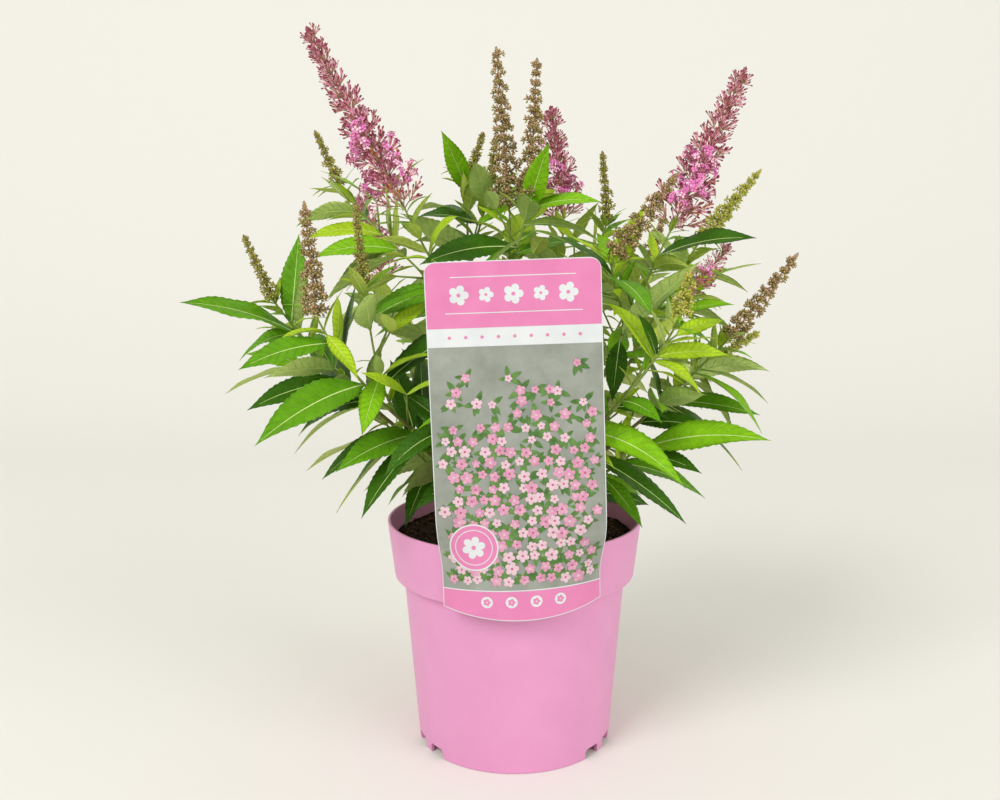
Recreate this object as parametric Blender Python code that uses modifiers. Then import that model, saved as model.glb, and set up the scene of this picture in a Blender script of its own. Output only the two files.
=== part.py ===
"""A butterfly bush in its pink nursery pot, with a plain plant label hooked over the rim.

Metres, +Z up. The origin is the centre of the pot's flat underside, and the front faces -Y.
Each shoot follows one smooth curve from the woody foot to the base of its flower spike. The inner
stretch of the curve is a bough. The rest is the stem of a mass, which carries side twigs, opposite
leaf pairs and flower spikes by a seeded rule.
"""

import math
import random
from collections import namedtuple

import bmesh
import bpy
from mathutils import Matrix, Vector
from mathutils.bvhtree import BVHTree

UP = Vector((0, 0, 1))
CLEARANCE = 0.0003

# Pot: a turned shell with a collar and a foot ring that is cut by drainage notches.
POT_HEIGHT = 0.170
RIM_RADIUS = 0.095
RIM_ROUND = 0.0010
COLLAR_DEPTH = 0.042
COLLAR_FOOT_RADIUS = 0.090
WALL_TOP_RADIUS = 0.0834
WALL_FOOT_RADIUS = 0.073
WALL = 0.0022
FLOOR = 0.0025
CHANNEL_HEIGHT = 0.008
CHANNEL_RADIUS = 0.051
POT_STEPS = 44
NOTCH_ANGLES = (51, 69)
NOTCH_WIDTH = 0.0150

# Soil: fills the pot to a little below the rim.
SOIL_TOP = POT_HEIGHT - 0.014
SOIL_LUMP = 0.0016
SOIL_LEVEL_RADIUS = 0.024

# Woody foot that the boughs rise from.
FOOT_HEIGHT = 0.046
FOOT_TOP_RADIUS = 0.0080
FOOT_BASE_RADIUS = 0.0100
FLARE_RADIUS = 0.0150
FLARE_HEIGHT = 0.012
FLARE_LOBES = 5
FOOT_LEAN = 0.003
FOOT_SIDES = 15
TIERS = (0.0140, 0.0235, 0.0330)
TOP_FEET = 4
TOP_FOOT_RING = 0.0046
TOP_FOOT_START = 45
FOOT_GAP = 0.0006
SIDE_RISE = 26
LOW_RISE = 2

# Boughs and stems.
BOUGH_RADIUS = 0.0021
STEM_RADIUS = 0.0009
TWIG_RADIUS = 0.0009
BOUGH_SHARE = 0.30
CURVE_STEPS = 40

# Leaves.
LEAF_LENGTH = 0.088
LEAF_WIDTH = 0.30
LEAF_THICKNESS = 0.015
LEAF_SAG = 0.75
LEAF_FOLD = 0.16
NODE_SPACING = 0.036
FIRST_LEAF = 0.010

# Plant label: a plastic card that wraps the collar below and is flat above.
LABEL_WIDTH = 0.113
LABEL_HEIGHT = 0.240
LABEL_FOOT = 0.123
LABEL_SHIFT = 0.007
LABEL_TURN = math.radians(2.0)
LABEL_THICKNESS = 0.0009
LABEL_CORNER = 0.007
LABEL_FOOT_ARC = 0.008
LABEL_WRAP_TOP = 0.200
LABEL_WRAP_END = 0.150
LABEL_GAP = 0.0004
HOOK_WIDTH = 0.022
HOOK_DROP = 0.011
HOOK_THICKNESS = 0.0010
HOOK_STAND = 0.0038

# A shoot ends at (azimuth in degrees, reach from the pot's axis, height above the floor). Its spike
# leans by tilt degrees from upright towards heading. The first shoot of a mass is its main stem,
# and the others fork off it at the share of its length that fork gives.
Shoot = namedtuple("Shoot", "mass azimuth reach height spike length tilt heading fork", defaults=(0,))
SHOOTS = (
    Shoot("left_high", -162, 0.080, 0.396, "bloom", 0.138, 28, -175),
    Shoot("left_high", 161, 0.140, 0.416, "green", 0.047, 26, 165, 0.34),
    Shoot("left_front", -152, 0.149, 0.325, "brown", 0.076, 5, -140),
    Shoot("left_front", -156, 0.113, 0.346, "green", 0.055, 6, -130, 0.30),
    Shoot("left_low", -171, 0.172, 0.333, "green", 0.050, 23, 180),
    Shoot("centre", 105, 0.014, 0.398, "brown", 0.116, 5, 160),
    Shoot("centre", 20, 0.012, 0.404, "brown", 0.100, 3, 20, 0.55),
    Shoot("back_left_high", 122, 0.066, 0.424, "green", 0.036, 20, 20),
    Shoot("back_left_high", 112, 0.046, 0.420, "green", 0.034, 5, 20, 0.50),
    Shoot("back_high", 66, 0.098, 0.390, "bloom", 0.092, 7, 180),
    Shoot("back_high", 28, 0.080, 0.390, "green", 0.052, 5, 170, 0.35),
    Shoot("right_high", -10, 0.112, 0.382, "bloom", 0.122, 24, 0),
    Shoot("right_high", -42, 0.090, 0.366, "brown", 0.068, 38, -8, 0.45),
    Shoot("right_back", 12, 0.146, 0.378, "lime", 0.068, 42, 13),
    Shoot("right_front", -37, 0.136, 0.326, "lime", 0.032, 12, -45),
    Shoot("right_front", -17, 0.125, 0.336, "rosy", 0.046, 39, 0, 0.45),
    Shoot("right_low", -9, 0.155, 0.306, "brown", 0.076, 37, -7),
    Shoot("right_low", 5, 0.138, 0.280, "lime", 0.060, 64, 20, 0.35),
    Shoot("back_right", 47, 0.158, 0.345, "brown", 0.062, 30, 45),
    Shoot("back_middle", 90, 0.152, 0.352, "green", 0.050, 26, 95),
    Shoot("back_left", 133, 0.160, 0.340, "bloom", 0.085, 28, 130),
    Shoot("low_left", 174, 0.106, 0.244, None, 0, 60, 174),
    Shoot("low_right", -24, 0.104, 0.232, None, 0, 70, -22),
    Shoot("low_front_left", -121, 0.088, 0.262, None, 0, 50, -120),
    Shoot("low_front_right", -57, 0.096, 0.262, None, 0, 50, -55),
    Shoot("low_back_left", 142, 0.118, 0.260, None, 0, 60, 142),
    Shoot("low_back_right", 70, 0.116, 0.262, None, 0, 60, 68),
)

# A spike's radius at its base and tip, the distance between its whorls, and the lobes of a whorl.
Spike = namedtuple("Spike", "base_radius tip_radius spacing lobes")
SPIKES = {
    "bloom": Spike(0.0230, 0.0065, 0.0150, 4),
    "rosy": Spike(0.0115, 0.0055, 0.0150, 3),
    "brown": Spike(0.0095, 0.0050, 0.0150, 3),
    "green": Spike(0.0075, 0.0040, 0.0145, 3),
    "lime": Spike(0.0090, 0.0045, 0.0150, 3),
}
SPIKE_VALLEY = 0.42
SPIKE_DIP = 0.66

# The long leaves that draw the crown's outline: the shoot of the mass and the share of its length at
# which each is rooted, the way it points, its length, how fast it sags and how far its face is
# turned from straight up towards the front.
Long = namedtuple("Long", "mass shoot share azimuth rise length sag turn")
LONG_LEAVES = (
    Long("left_low", 0, 0.84, -140, 31, 0.094, 0.50, 20),
    Long("left_low", 0, 0.64, -150, 2, 0.074, 0.50, 35),
    Long("left_low", 0, 0.70, 174, 6, 0.084, 0.70, 0),
    Long("left_low", 0, 0.90, 80, 74, 0.066, 0.10, 60),
    Long("left_front", 0, 0.88, -144, 3, 0.068, 0.50, 35),
    Long("left_front", 0, 0.68, -129, -3, 0.098, 0.50, 45),
    Long("left_front", 0, 0.92, -36, -36, 0.041, 0.40, 30),
    Long("left_front", 0, 0.40, -132, 3, 0.077, 0.50, 40),
    Long("left_front", 1, 0.30, -99, -27, 0.056, 0.40, 50),
    Long("left_high", 0, 0.68, -172, -4, 0.064, 0.50, 55),
    Long("left_high", 1, 0.80, -126, 45, 0.036, 0.30, 30),
    Long("left_high", 1, 0.62, 178, 20, 0.060, 0.80, 30),
    Long("left_high", 1, 0.50, -170, 15, 0.064, 0.70, 40),
    Long("low_left", 0, 0.80, 172, -6, 0.080, 0.60, 0),
    Long("low_left", 0, 0.52, -120, -45, 0.052, 0.30, 40),
    Long("low_front_left", 0, 0.46, -137, -48, 0.050, 0.40, 20),
    Long("low_front_left", 0, 0.84, -150, 0, 0.062, 1.00, 30),
    Long("back_left_high", 0, 0.94, -120, 54, 0.056, 0.20, 60),
    Long("back_left_high", 1, 0.50, -132, 18, 0.066, 0.50, 40),
    Long("centre", 1, 0.44, -150, 6, 0.081, 0.50, 40),
    Long("centre", 1, 0.86, -63, 60, 0.057, 0.30, 70),
    Long("centre", 1, 0.88, -20, 22, 0.056, 0.60, 30),
    Long("centre", 0, 0.80, 8, 30, 0.080, 0.90, 20),
    Long("right_high", 0, 0.90, -33, 24, 0.074, 0.50, 25),
    Long("right_high", 0, 0.84, 12, 12, 0.078, 0.80, 0),
    Long("right_high", 0, 0.62, -50, 42, 0.088, 0.20, 0),
    Long("right_high", 0, 0.60, -105, -48, 0.050, 0.30, 40),
    Long("right_back", 0, 0.74, 6, 34, 0.082, 0.50, 10),
    Long("right_front", 1, 0.84, -36, 20, 0.044, 0.40, 30),
    Long("right_front", 1, 0.56, -66, -21, 0.048, 0.40, -100),
    Long("right_front", 0, 0.62, -60, 6, 0.046, 0.60, 50),
    Long("right_low", 0, 0.52, -34, 14, 0.062, 0.50, 35),
    Long("right_low", 0, 0.64, -14, 6, 0.070, 0.40, 20),
    Long("low_right", 0, 0.60, -34, -34, 0.048, 0.50, 20),
    Long("low_right", 0, 0.96, -39, 24, 0.098, 0.50, 35),
    Long("low_right", 0, 0.86, -44, 10, 0.060, 0.50, 35),
    Long("low_right", 0, 0.74, 10, -4, 0.074, 0.70, 20),
    Long("low_front_right", 0, 0.84, -24, 0, 0.082, 0.90, 35),
)

BROWN_WOOD = (0.20, 0.13, 0.07)
GREEN_STEM = (0.22, 0.33, 0.08)
GREEN_LEAF = (0.12, 0.32, 0.03)
PINK_PLASTIC = (0.83, 0.33, 0.56)
DARK_SOIL = (0.030, 0.016, 0.010)
LABEL_PINK = (0.95, 0.45, 0.68)


def clear_scene():
    for item in list(bpy.data.objects):
        bpy.data.objects.remove(item, do_unlink=True)


def collection_named(name):
    made = bpy.data.collections.new(name)
    bpy.context.scene.collection.children.link(made)
    return made


def material(name, color, roughness):
    made = bpy.data.materials.new(name)
    made.use_nodes = True
    shader = made.node_tree.nodes["Principled BSDF"]
    shader.inputs["Base Color"].default_value = (*color, 1)
    shader.inputs["Roughness"].default_value = roughness
    shader.inputs["Metallic"].default_value = 0
    return made


def object_of(mesh, name, collection, surface=None):
    made = bpy.data.objects.new(name, mesh)
    collection.objects.link(made)
    if surface:
        mesh.materials.append(surface)
    return made


def baked(item):
    """A mesh object in place of one that still has modifiers, or of a curve, with its caps welded."""
    bpy.context.view_layer.update()
    graph = bpy.context.evaluated_depsgraph_get()
    mesh = bpy.data.meshes.new_from_object(item.evaluated_get(graph))
    shape = bmesh.new()
    shape.from_mesh(mesh)
    bmesh.ops.remove_doubles(shape, verts=shape.verts, dist=1e-6)
    shape.to_mesh(mesh)
    shape.free()
    made = bpy.data.objects.new(item.name, mesh)
    made.matrix_world = item.matrix_world
    item.users_collection[0].objects.link(made)
    name = item.name
    bpy.data.objects.remove(item)
    made.name = name
    return made


def around(azimuth):
    """The level unit vector at an azimuth in degrees."""
    angle = math.radians(azimuth)
    return Vector((math.cos(angle), math.sin(angle), 0))


def pointing(azimuth, rise):
    """The unit vector at an azimuth, rising by so many degrees above level."""
    angle = math.radians(rise)
    return around(azimuth) * math.cos(angle) + UP * math.sin(angle)


def square_to(vector, axis):
    """The unit vector nearest to vector that is square to axis."""
    flat = vector - axis * vector.dot(axis)
    return flat.normalized() if flat.length > 1e-9 else axis.orthogonal().normalized()


class Curve:
    """A smooth path, held as evenly spaced points."""

    def __init__(self, start, leave, arrive, end):
        span = (end - start).length
        first = start + leave.normalized() * span * 0.36
        last = end - arrive.normalized() * span * 0.30
        self.points = []
        for step in range(CURVE_STEPS + 1):
            t = step / CURVE_STEPS
            s = 1 - t
            self.points.append(
                start * s**3 + first * 3 * s * s * t + last * 3 * s * t * t + end * t**3
            )

    def at(self, share):
        place = max(0, min(1, share)) * CURVE_STEPS
        index = min(int(place), CURVE_STEPS - 1)
        return self.points[index].lerp(self.points[index + 1], place - index)

    def along(self, share):
        return (self.at(share + 0.02) - self.at(share - 0.02)).normalized()

    def length(self):
        return sum((b - a).length for a, b in zip(self.points, self.points[1:]))


def turned(name, profile, steps, collection, surface):
    """A turned solid from a profile of (radius, height) that runs down its outer side."""
    mesh = bpy.data.meshes.new(name)
    points = [(radius, 0, height) for radius, height in profile]
    mesh.from_pydata(points, [(i, i + 1) for i in range(len(points) - 1)], [])
    made = object_of(mesh, name, collection, surface)
    screw = made.modifiers.new("turn", "SCREW")
    screw.steps = screw.render_steps = steps
    screw.use_merge_vertices = True
    screw.merge_threshold = 0.00001
    screw.use_smooth_shade = True
    return made


def pot_profile():
    """From the middle of the inner floor, up the inside, over the rim and down the outside."""
    inner_floor_edge = CHANNEL_RADIUS - WALL
    collar_foot = POT_HEIGHT - COLLAR_DEPTH
    channel_top = CHANNEL_HEIGHT + FLOOR
    wall_in_channel = WALL_FOOT_RADIUS + (WALL_TOP_RADIUS - WALL_FOOT_RADIUS) * channel_top / collar_foot
    return (
        (0, FLOOR),
        (inner_floor_edge, FLOOR),
        (CHANNEL_RADIUS, channel_top),
        (wall_in_channel - WALL, channel_top),
        (WALL_TOP_RADIUS - WALL, collar_foot + WALL),
        (COLLAR_FOOT_RADIUS - WALL, collar_foot + 2 * WALL),
        (RIM_RADIUS - WALL, POT_HEIGHT - RIM_ROUND),
        (RIM_RADIUS - WALL + RIM_ROUND, POT_HEIGHT),
        (RIM_RADIUS - RIM_ROUND, POT_HEIGHT),
        (RIM_RADIUS, POT_HEIGHT - RIM_ROUND),
        (COLLAR_FOOT_RADIUS, collar_foot),
        (WALL_TOP_RADIUS, collar_foot),
        (WALL_FOOT_RADIUS, 0),
        (WALL_FOOT_RADIUS - WALL, 0),
        (WALL_FOOT_RADIUS - WALL, CHANNEL_HEIGHT),
        (CHANNEL_RADIUS + WALL, CHANNEL_HEIGHT),
        (CHANNEL_RADIUS, 0),
        (0, 0),
    )


def make_pot(collection, helpers, surface):
    """The pot, with a pair of drainage notches in its foot ring at each quarter."""
    pot = turned("pot", pot_profile(), POT_STEPS, collection, surface)
    notches = bpy.data.collections.new("notches")
    helpers.children.link(notches)
    for quarter in range(4):
        for angle in NOTCH_ANGLES:
            # Measured from the front, so that the notches lie alike on both sides of it.
            mirrored = quarter % 2
            turn = math.radians(-90 + 180 * (quarter // 2) + (-angle if mirrored else angle))
            shape = bmesh.new()
            bmesh.ops.create_cube(shape, size=1)
            size = (3 * WALL, NOTCH_WIDTH, 2 * CHANNEL_HEIGHT - 0.001)
            bmesh.ops.scale(shape, verts=shape.verts, vec=size)
            mesh = bpy.data.meshes.new("notch")
            shape.to_mesh(mesh)
            shape.free()
            cutter = object_of(mesh, "notch", notches)
            cutter.location = (WALL_FOOT_RADIUS - WALL / 2) * Vector((math.cos(turn), math.sin(turn), 0))
            cutter.rotation_euler = (0, 0, turn)
            cutter.hide_render = True
            cutter.display_type = "WIRE"
    cut = pot.modifiers.new("notches", "BOOLEAN")
    cut.operand_type = "COLLECTION"
    cut.collection = notches
    cut.operation = "DIFFERENCE"
    return pot


def make_soil(collection, surface):
    """The soil, 0.3 mm clear of the pot all round, with a lumpy top that is level at the stems."""
    inner = [(radius - CLEARANCE * 1.5, height) for radius, height in pot_profile()[1:7]]
    rim_share = (SOIL_TOP - inner[4][1]) / (inner[5][1] - inner[4][1])
    top_radius = inner[4][0] + (inner[5][0] - inner[4][0]) * rim_share
    rings = [(0, SOIL_TOP), (SOIL_LEVEL_RADIUS, SOIL_TOP)]
    rings += [(top_radius * share, SOIL_TOP) for share in (0.45, 0.68, 0.88)]
    sides = [(radius, height + CLEARANCE) for radius, height in reversed(inner[:5])]
    profile = rings + [(top_radius, SOIL_TOP)] + sides + [(0, FLOOR + CLEARANCE)]
    soil = baked(turned("soil", profile, POT_STEPS // 2, collection, surface))
    rng = random.Random(3)
    for vertex in soil.data.vertices:
        out = vertex.co.xy.length
        if vertex.co.z > SOIL_TOP - 1e-5 and out > SOIL_LEVEL_RADIUS + 0.001:
            vertex.co.z += rng.uniform(-SOIL_LUMP, SOIL_LUMP * 0.5)
    return soil


def foot_centre(height):
    """The woody foot's middle at a height above the soil: it leans a little to the left."""
    return Vector((-FOOT_LEAN * (height / FOOT_HEIGHT) ** 2, 0, SOIL_TOP + CLEARANCE + height))


def foot_radius(height, angle):
    """The woody foot's radius at a height above the soil, with lobes where it flares."""
    taper = FOOT_BASE_RADIUS + (FOOT_TOP_RADIUS - FOOT_BASE_RADIUS) * height / FOOT_HEIGHT
    flare = max(0, 1 - height / FLARE_HEIGHT) ** 2
    lobes = 1 + 0.35 * math.cos(FLARE_LOBES * angle)
    return taper + (FLARE_RADIUS - FOOT_BASE_RADIUS) * flare * lobes


Solid = namedtuple("Solid", "points faces")


def loft(rings):
    """A closed solid through rings of points, where a ring of one point is a tip."""
    points, faces, starts = [], [], []
    for ring in rings:
        starts.append(len(points))
        points += ring
    for i in range(len(rings) - 1):
        low, high = starts[i], starts[i + 1]
        low_count, high_count = len(rings[i]), len(rings[i + 1])
        count = max(low_count, high_count)
        for k in range(count):
            n = (k + 1) % count
            if low_count > 1:
                faces.append((low + k, low + n, high + n % high_count))
            if high_count > 1:
                faces.append((low + k % low_count, high + n, high + k))
    for ring, start, flip in ((rings[0], starts[0], -1), (rings[-1], starts[-1], 1)):
        for k in range(1, len(ring) - 1):
            faces.append((start, start + k, start + k + 1)[::flip])
    return Solid(points, faces)


def object_from(solid, name, collection, surface=None):
    mesh = bpy.data.meshes.new(name)
    mesh.from_pydata([tuple(point) for point in solid.points], [], solid.faces)
    shape = bmesh.new()
    shape.from_mesh(mesh)
    bmesh.ops.recalc_face_normals(shape, faces=shape.faces)
    shape.to_mesh(mesh)
    shape.free()
    return object_of(mesh, name, collection, surface)


def solid_of(item):
    """An object's evaluated shape in world space."""
    bpy.context.view_layer.update()
    graph = bpy.context.evaluated_depsgraph_get()
    mesh = item.evaluated_get(graph).to_mesh()
    points = [item.matrix_world @ vertex.co for vertex in mesh.vertices]
    return Solid(points, [tuple(face.vertices) for face in mesh.polygons])


def make_woody_foot(collection, surface):
    """The short main stem, from its flat cut at the soil to the stub that the boughs leave."""
    rings = []
    for share in (0, 0.08, 0.16, 0.30, 0.65, 1.0):
        height = share * FOOT_HEIGHT
        ring = []
        for side in range(FOOT_SIDES):
            angle = 2 * math.pi * side / FOOT_SIDES
            spoke = Vector((math.cos(angle), math.sin(angle), 0))
            ring.append(foot_centre(height) + spoke * foot_radius(height, angle))
        rings.append(ring)
    return object_from(loft(rings), "woody_foot", collection, surface)


def tube(points, radii, sides, seat=None):
    """A tapering limb of flat-sided rings, which do not twist along it.

    The first ring is square to the limb, or lies in the plane with the normal given as its seat.
    """
    rings = []
    side_way = square_to(Vector((0.3, 1, 0.2)), (points[1] - points[0]).normalized())
    for i, (point, radius) in enumerate(zip(points, radii)):
        way = (points[min(i + 1, len(points) - 1)] - points[max(i - 1, 0)]).normalized()
        side_way = square_to(side_way, way)
        other = way.cross(side_way)
        angles = [2 * math.pi * k / sides for k in range(sides)]
        spokes = [(side_way * math.cos(a) + other * math.sin(a)) * radius for a in angles]
        if seat and i == 0:
            spokes = [spoke - way * (spoke.dot(seat) / way.dot(seat)) for spoke in spokes]
        rings.append([point + spoke for spoke in spokes])
    return loft(rings)


def shoot_end(shoot):
    return around(shoot.azimuth) * shoot.reach + UP * shoot.height


def spike_way(shoot):
    return pointing(shoot.heading, 90 - shoot.tilt)


def steepness(shoot):
    rise = shoot_end(shoot) - foot_centre(FOOT_HEIGHT)
    return rise.z / rise.length


def foot_places(mains):
    """Where each main shoot starts on the woody foot, its first direction, and its seat's normal.

    The steepest shoots start on the stub's top and the flowerless ones low on its side. The rest
    start on two tiers between, by turns, and are spread round it so that neighbours keep apart.
    """
    def turn(shoot):
        return shoot.azimuth % 360

    flowering = [shoot for shoot in mains if shoot.spike]
    by_steepness = sorted(flowering, key=steepness, reverse=True)
    top = sorted(by_steepness[:TOP_FEET], key=turn)
    side = sorted(by_steepness[TOP_FEET:], key=turn)
    low = [shoot for shoot in mains if not shoot.spike]
    places = {}
    for i, shoot in enumerate(top):
        out = around(360 / TOP_FEET * i + TOP_FOOT_START)
        start = foot_centre(FOOT_HEIGHT) + out * TOP_FOOT_RING + UP * FOOT_GAP
        places[shoot.mass] = (start, UP * 0.97 + out * 0.24, UP)
    feet = [(shoot, turn(shoot), TIERS[0], LOW_RISE) for shoot in low]
    for i, shoot in enumerate(side):
        even = turn(side[0]) + 360 * i / len(side)
        feet.append((shoot, (turn(shoot) + even) / 2, TIERS[1 + i % 2], SIDE_RISE))
    for shoot, azimuth, height, rise in feet:
        out = around(azimuth)
        surface = foot_radius(height, math.radians(azimuth))
        start = foot_centre(height) + out * (surface + FOOT_GAP)
        places[shoot.mass] = (start, pointing(azimuth, rise), out)
    return places


def grow_curves():
    """The main curve of each mass with those that fork off it, and the seats of the boughs."""
    mains = {}
    for shoot in SHOOTS:
        mains.setdefault(shoot.mass, shoot)
    places = foot_places(list(mains.values()))
    curves = {}
    for mass, shoot in mains.items():
        start, leave, _ = places[mass]
        end = shoot_end(shoot)
        straight = (end - start).normalized()
        leave = leave.normalized() * 0.55 + straight * 0.45
        arrive = spike_way(shoot) * 0.5 + straight * 0.5
        curves[mass] = [(shoot, Curve(start, leave, arrive, end), 0)]
    for shoot in SHOOTS:
        if shoot is mains[shoot.mass]:
            continue
        main = curves[shoot.mass][0][1]
        share = BOUGH_SHARE + (1 - BOUGH_SHARE) * shoot.fork
        start = main.at(share)
        end = shoot_end(shoot)
        straight = (end - start).normalized()
        leave = main.along(share) * 0.5 + straight * 0.5
        arrive = spike_way(shoot) * 0.5 + straight * 0.5
        curves[shoot.mass].append((shoot, Curve(start, leave, arrive, end), share))
    return curves, {mass: seat for mass, (_, _, seat) in places.items()}


def bough_radius(share):
    return BOUGH_RADIUS + (STEM_RADIUS - BOUGH_RADIUS) * share


def bough_of(curve, seat):
    """The bare inner stretch of a main curve, cut square where it meets the woody foot."""
    shares = [BOUGH_SHARE * i / 5 for i in range(6)]
    points = [curve.at(share) for share in shares]
    radii = [bough_radius(share) for share in shares]
    return tube(points, radii, 6, seat)


class Leaf:
    """A leaf's rule: a midrib that sags under gravity, and a lance-shaped blade folded along it."""

    def __init__(self, root, way, face, length, sag, width=LEAF_WIDTH):
        self.root = root
        self.way = way.normalized()
        self.face = square_to(face, self.way)
        self.length = length
        self.sag = sag
        self.width = width

    def frames(self, shares):
        """(point, face, side) on the midrib at each share of its length."""
        found = []
        steps = 20
        point, way, face = self.root.copy(), self.way.copy(), self.face.copy()
        path = [(point.copy(), way.copy(), face.copy())]
        for _ in range(steps):
            way = (way - UP * self.sag / steps).normalized()
            face = square_to(face, way)
            point = point + way * self.length / steps
            path.append((point.copy(), way.copy(), face.copy()))
        for share in shares:
            point, way, face = path[round(share * steps)]
            found.append((point, face, way.cross(face)))
        return found

    def half_width(self, share):
        """Narrow at the stalk, widest before the middle and drawn out to the tip."""
        bulge = share**0.85 * (1 - share) ** 1.05 / 0.2653
        return self.length * self.width / 2 * max(0.05 * (1 - share), bulge)

    def solid(self, grow=0.0, start=0.0, small=False):
        """The blade as a closed solid, a little larger by grow, from start along it."""
        shares = (start, 0.5, 1.0) if small else (start, 0.3, 0.65, 1.0)
        rings = []
        for share, (point, face, side) in zip(shares, self.frames(shares)):
            if share == 1.0:
                rings.append([point])
                continue
            half = self.half_width(share) + grow
            thick = max(0.5 * LEAF_THICKNESS * self.length, 0.00045) * (1.1 - 0.4 * share) + grow
            lift = face * (half * LEAF_FOLD)
            rings.append([
                point + side * half + lift,
                point + face * thick,
                point - side * half + lift,
                point - face * thick,
            ])
        return loft(rings)


def to_light(root, along, tilt):
    """The way a leaf's face turns: up and outward, to the light, and a little aside."""
    outward = Vector((root.x, root.y, 0)).normalized()
    return along * 0.4 + UP * 0.6 + outward * 0.6 + outward.cross(UP) * tilt


def to_front(turn):
    """A face turned from straight up towards the front by so many degrees."""
    angle = math.radians(turn)
    return UP * math.cos(angle) - Vector((0.01, math.sin(angle), 0))


def leaf_size(share):
    """Leaves are full size low on a shoot and small below its spike."""
    return LEAF_LENGTH * (1.0 - 0.42 * max(0, share - 0.45) / 0.55)


def leaves_of(curve, first_share, seed):
    """Opposite pairs along a shoot, each pair turned a quarter from the last."""
    rng = random.Random(seed)
    made = []
    length = curve.length()
    nodes = max(2, int(length * (1 - first_share) / NODE_SPACING))
    phase = rng.uniform(0, math.pi)
    for node in range(nodes):
        share = first_share + FIRST_LEAF / length + (0.97 - first_share) * node / nodes
        point, along = curve.at(share), curve.along(share)
        side = square_to(Vector((0, 0, 1)) if abs(along.z) < 0.9 else Vector((1, 0, 0)), along)
        other = along.cross(side)
        spread = math.radians(rng.uniform(56, 74) - 14 * share)
        for half in (0, 1):
            angle = phase + node * math.pi / 2 + half * math.pi + rng.uniform(-0.25, 0.25)
            out = side * math.cos(angle) + other * math.sin(angle)
            way = along * math.cos(spread) + out * math.sin(spread)
            size = leaf_size(share) * rng.uniform(0.82, 1.08)
            sag = LEAF_SAG * rng.uniform(0.5, 1.5)
            root = point - out * 0.0005
            made.append(Leaf(root, way, to_light(root, along, rng.uniform(-0.4, 0.4)), size, sag))
    return made


def twigs_of(curve, first_share, seed):
    """Short side twigs from the leaf axils, each with small leaves at its end."""
    rng = random.Random(seed + 500)
    made = []
    length = curve.length()
    count = max(1, int(length * (1 - first_share) / (1.6 * NODE_SPACING)))
    for i in range(count):
        share = first_share + (0.86 - first_share) * (i + 0.4) / count
        point, along = curve.at(share), curve.along(share)
        out = square_to(around(rng.uniform(0, 360)) + UP * 0.2, along)
        way = (along * 0.75 + out * 0.75).normalized()
        reach = rng.uniform(0.020, 0.034)
        end = point + way * reach
        across = square_to(UP * 0.3 + around(rng.uniform(0, 360)), way)
        leaves = []
        for turn in (-1, 1):
            lean = way * 0.75 + across * turn * 0.75
            size = rng.uniform(0.034, 0.050)
            leaves.append(Leaf(end - lean * 0.0004, lean, way + UP * 0.4, size, 0.4, 0.30))
        made.append((point - way * 0.0005, end + way * 0.0008, leaves))
    return made


class Space:
    """What has been placed so far, so that a new piece can be tested against it."""

    def __init__(self):
        self.held = []

    @staticmethod
    def tree(solid):
        low = Vector([min(p[k] for p in solid.points) for k in range(3)])
        high = Vector([max(p[k] for p in solid.points) for k in range(3)])
        return low, high, BVHTree.FromPolygons(solid.points, solid.faces)

    def add(self, solid, owner):
        self.held.append((*self.tree(solid), owner))

    def crossed(self, solid, mass):
        """True if the solid crosses anything but its own mass."""
        low, high, tree = self.tree(solid)
        for other_low, other_high, other, owner in self.held:
            if owner == mass or any(low[k] > other_high[k] or high[k] < other_low[k] for k in range(3)):
                continue
            if tree.overlap(other):
                return True
        return False

    def crossed_own(self, solid, mass):
        """True if the solid crosses a piece of its own mass."""
        tree = self.tree(solid)[2]
        return any(owner == mass and tree.overlap(other) for _, _, other, owner in self.held)


def spike_of(shoot, seed):
    """A spike as one lobed solid: whorls that stand out and valleys between them."""
    rng = random.Random(seed + 900)
    kind = SPIKES[shoot.spike]
    base, way = shoot_end(shoot), spike_way(shoot)
    side = square_to(Vector((0.2, 1, 0)), way)
    other = way.cross(side)
    whorls = max(3, round(shoot.length / kind.spacing))
    sides = 2 * kind.lobes
    rings = [[base - way * 0.004]]
    for whorl in range(whorls):
        share = (whorl + 0.5) / whorls
        reach = kind.base_radius + (kind.tip_radius - kind.base_radius) * share**0.8
        for rise, valley in ((-0.38, True), (0.12, False)):
            middle = base + way * shoot.length * (share + rise / whorls)
            ring = []
            for k in range(sides):
                angle = math.pi * (2 * k + whorl % 2) / sides
                out = side * math.cos(angle) + other * math.sin(angle)
                crest = (k + whorl) % 2 == 0
                size = SPIKE_VALLEY if valley else (rng.uniform(0.88, 1.08) if crest else SPIKE_DIP)
                lift = way * reach * (0.35 if crest and not valley else 0)
                ring.append(middle + out * reach * size + lift)
            rings.append(ring)
    rings.append([base + way * shoot.length])
    return loft(rings)


def label_point(across, up):
    """A point of the card's back at so far across from its middle and up from its foot."""
    turned_across = across * math.cos(LABEL_TURN) - up * math.sin(LABEL_TURN) + LABEL_SHIFT
    height = LABEL_FOOT + up * math.cos(LABEL_TURN) + across * math.sin(LABEL_TURN)
    wrap = max(0, min(1, (LABEL_WRAP_TOP - height) / (LABEL_WRAP_TOP - LABEL_WRAP_END)))
    wrap = wrap * wrap * (3 - 2 * wrap)
    radius = RIM_RADIUS + LABEL_GAP
    bend = max(1e-6, wrap / radius)
    angle = turned_across * bend
    return Vector((math.sin(angle) / bend, -radius + (1 - math.cos(angle)) / bend, height))


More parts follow.
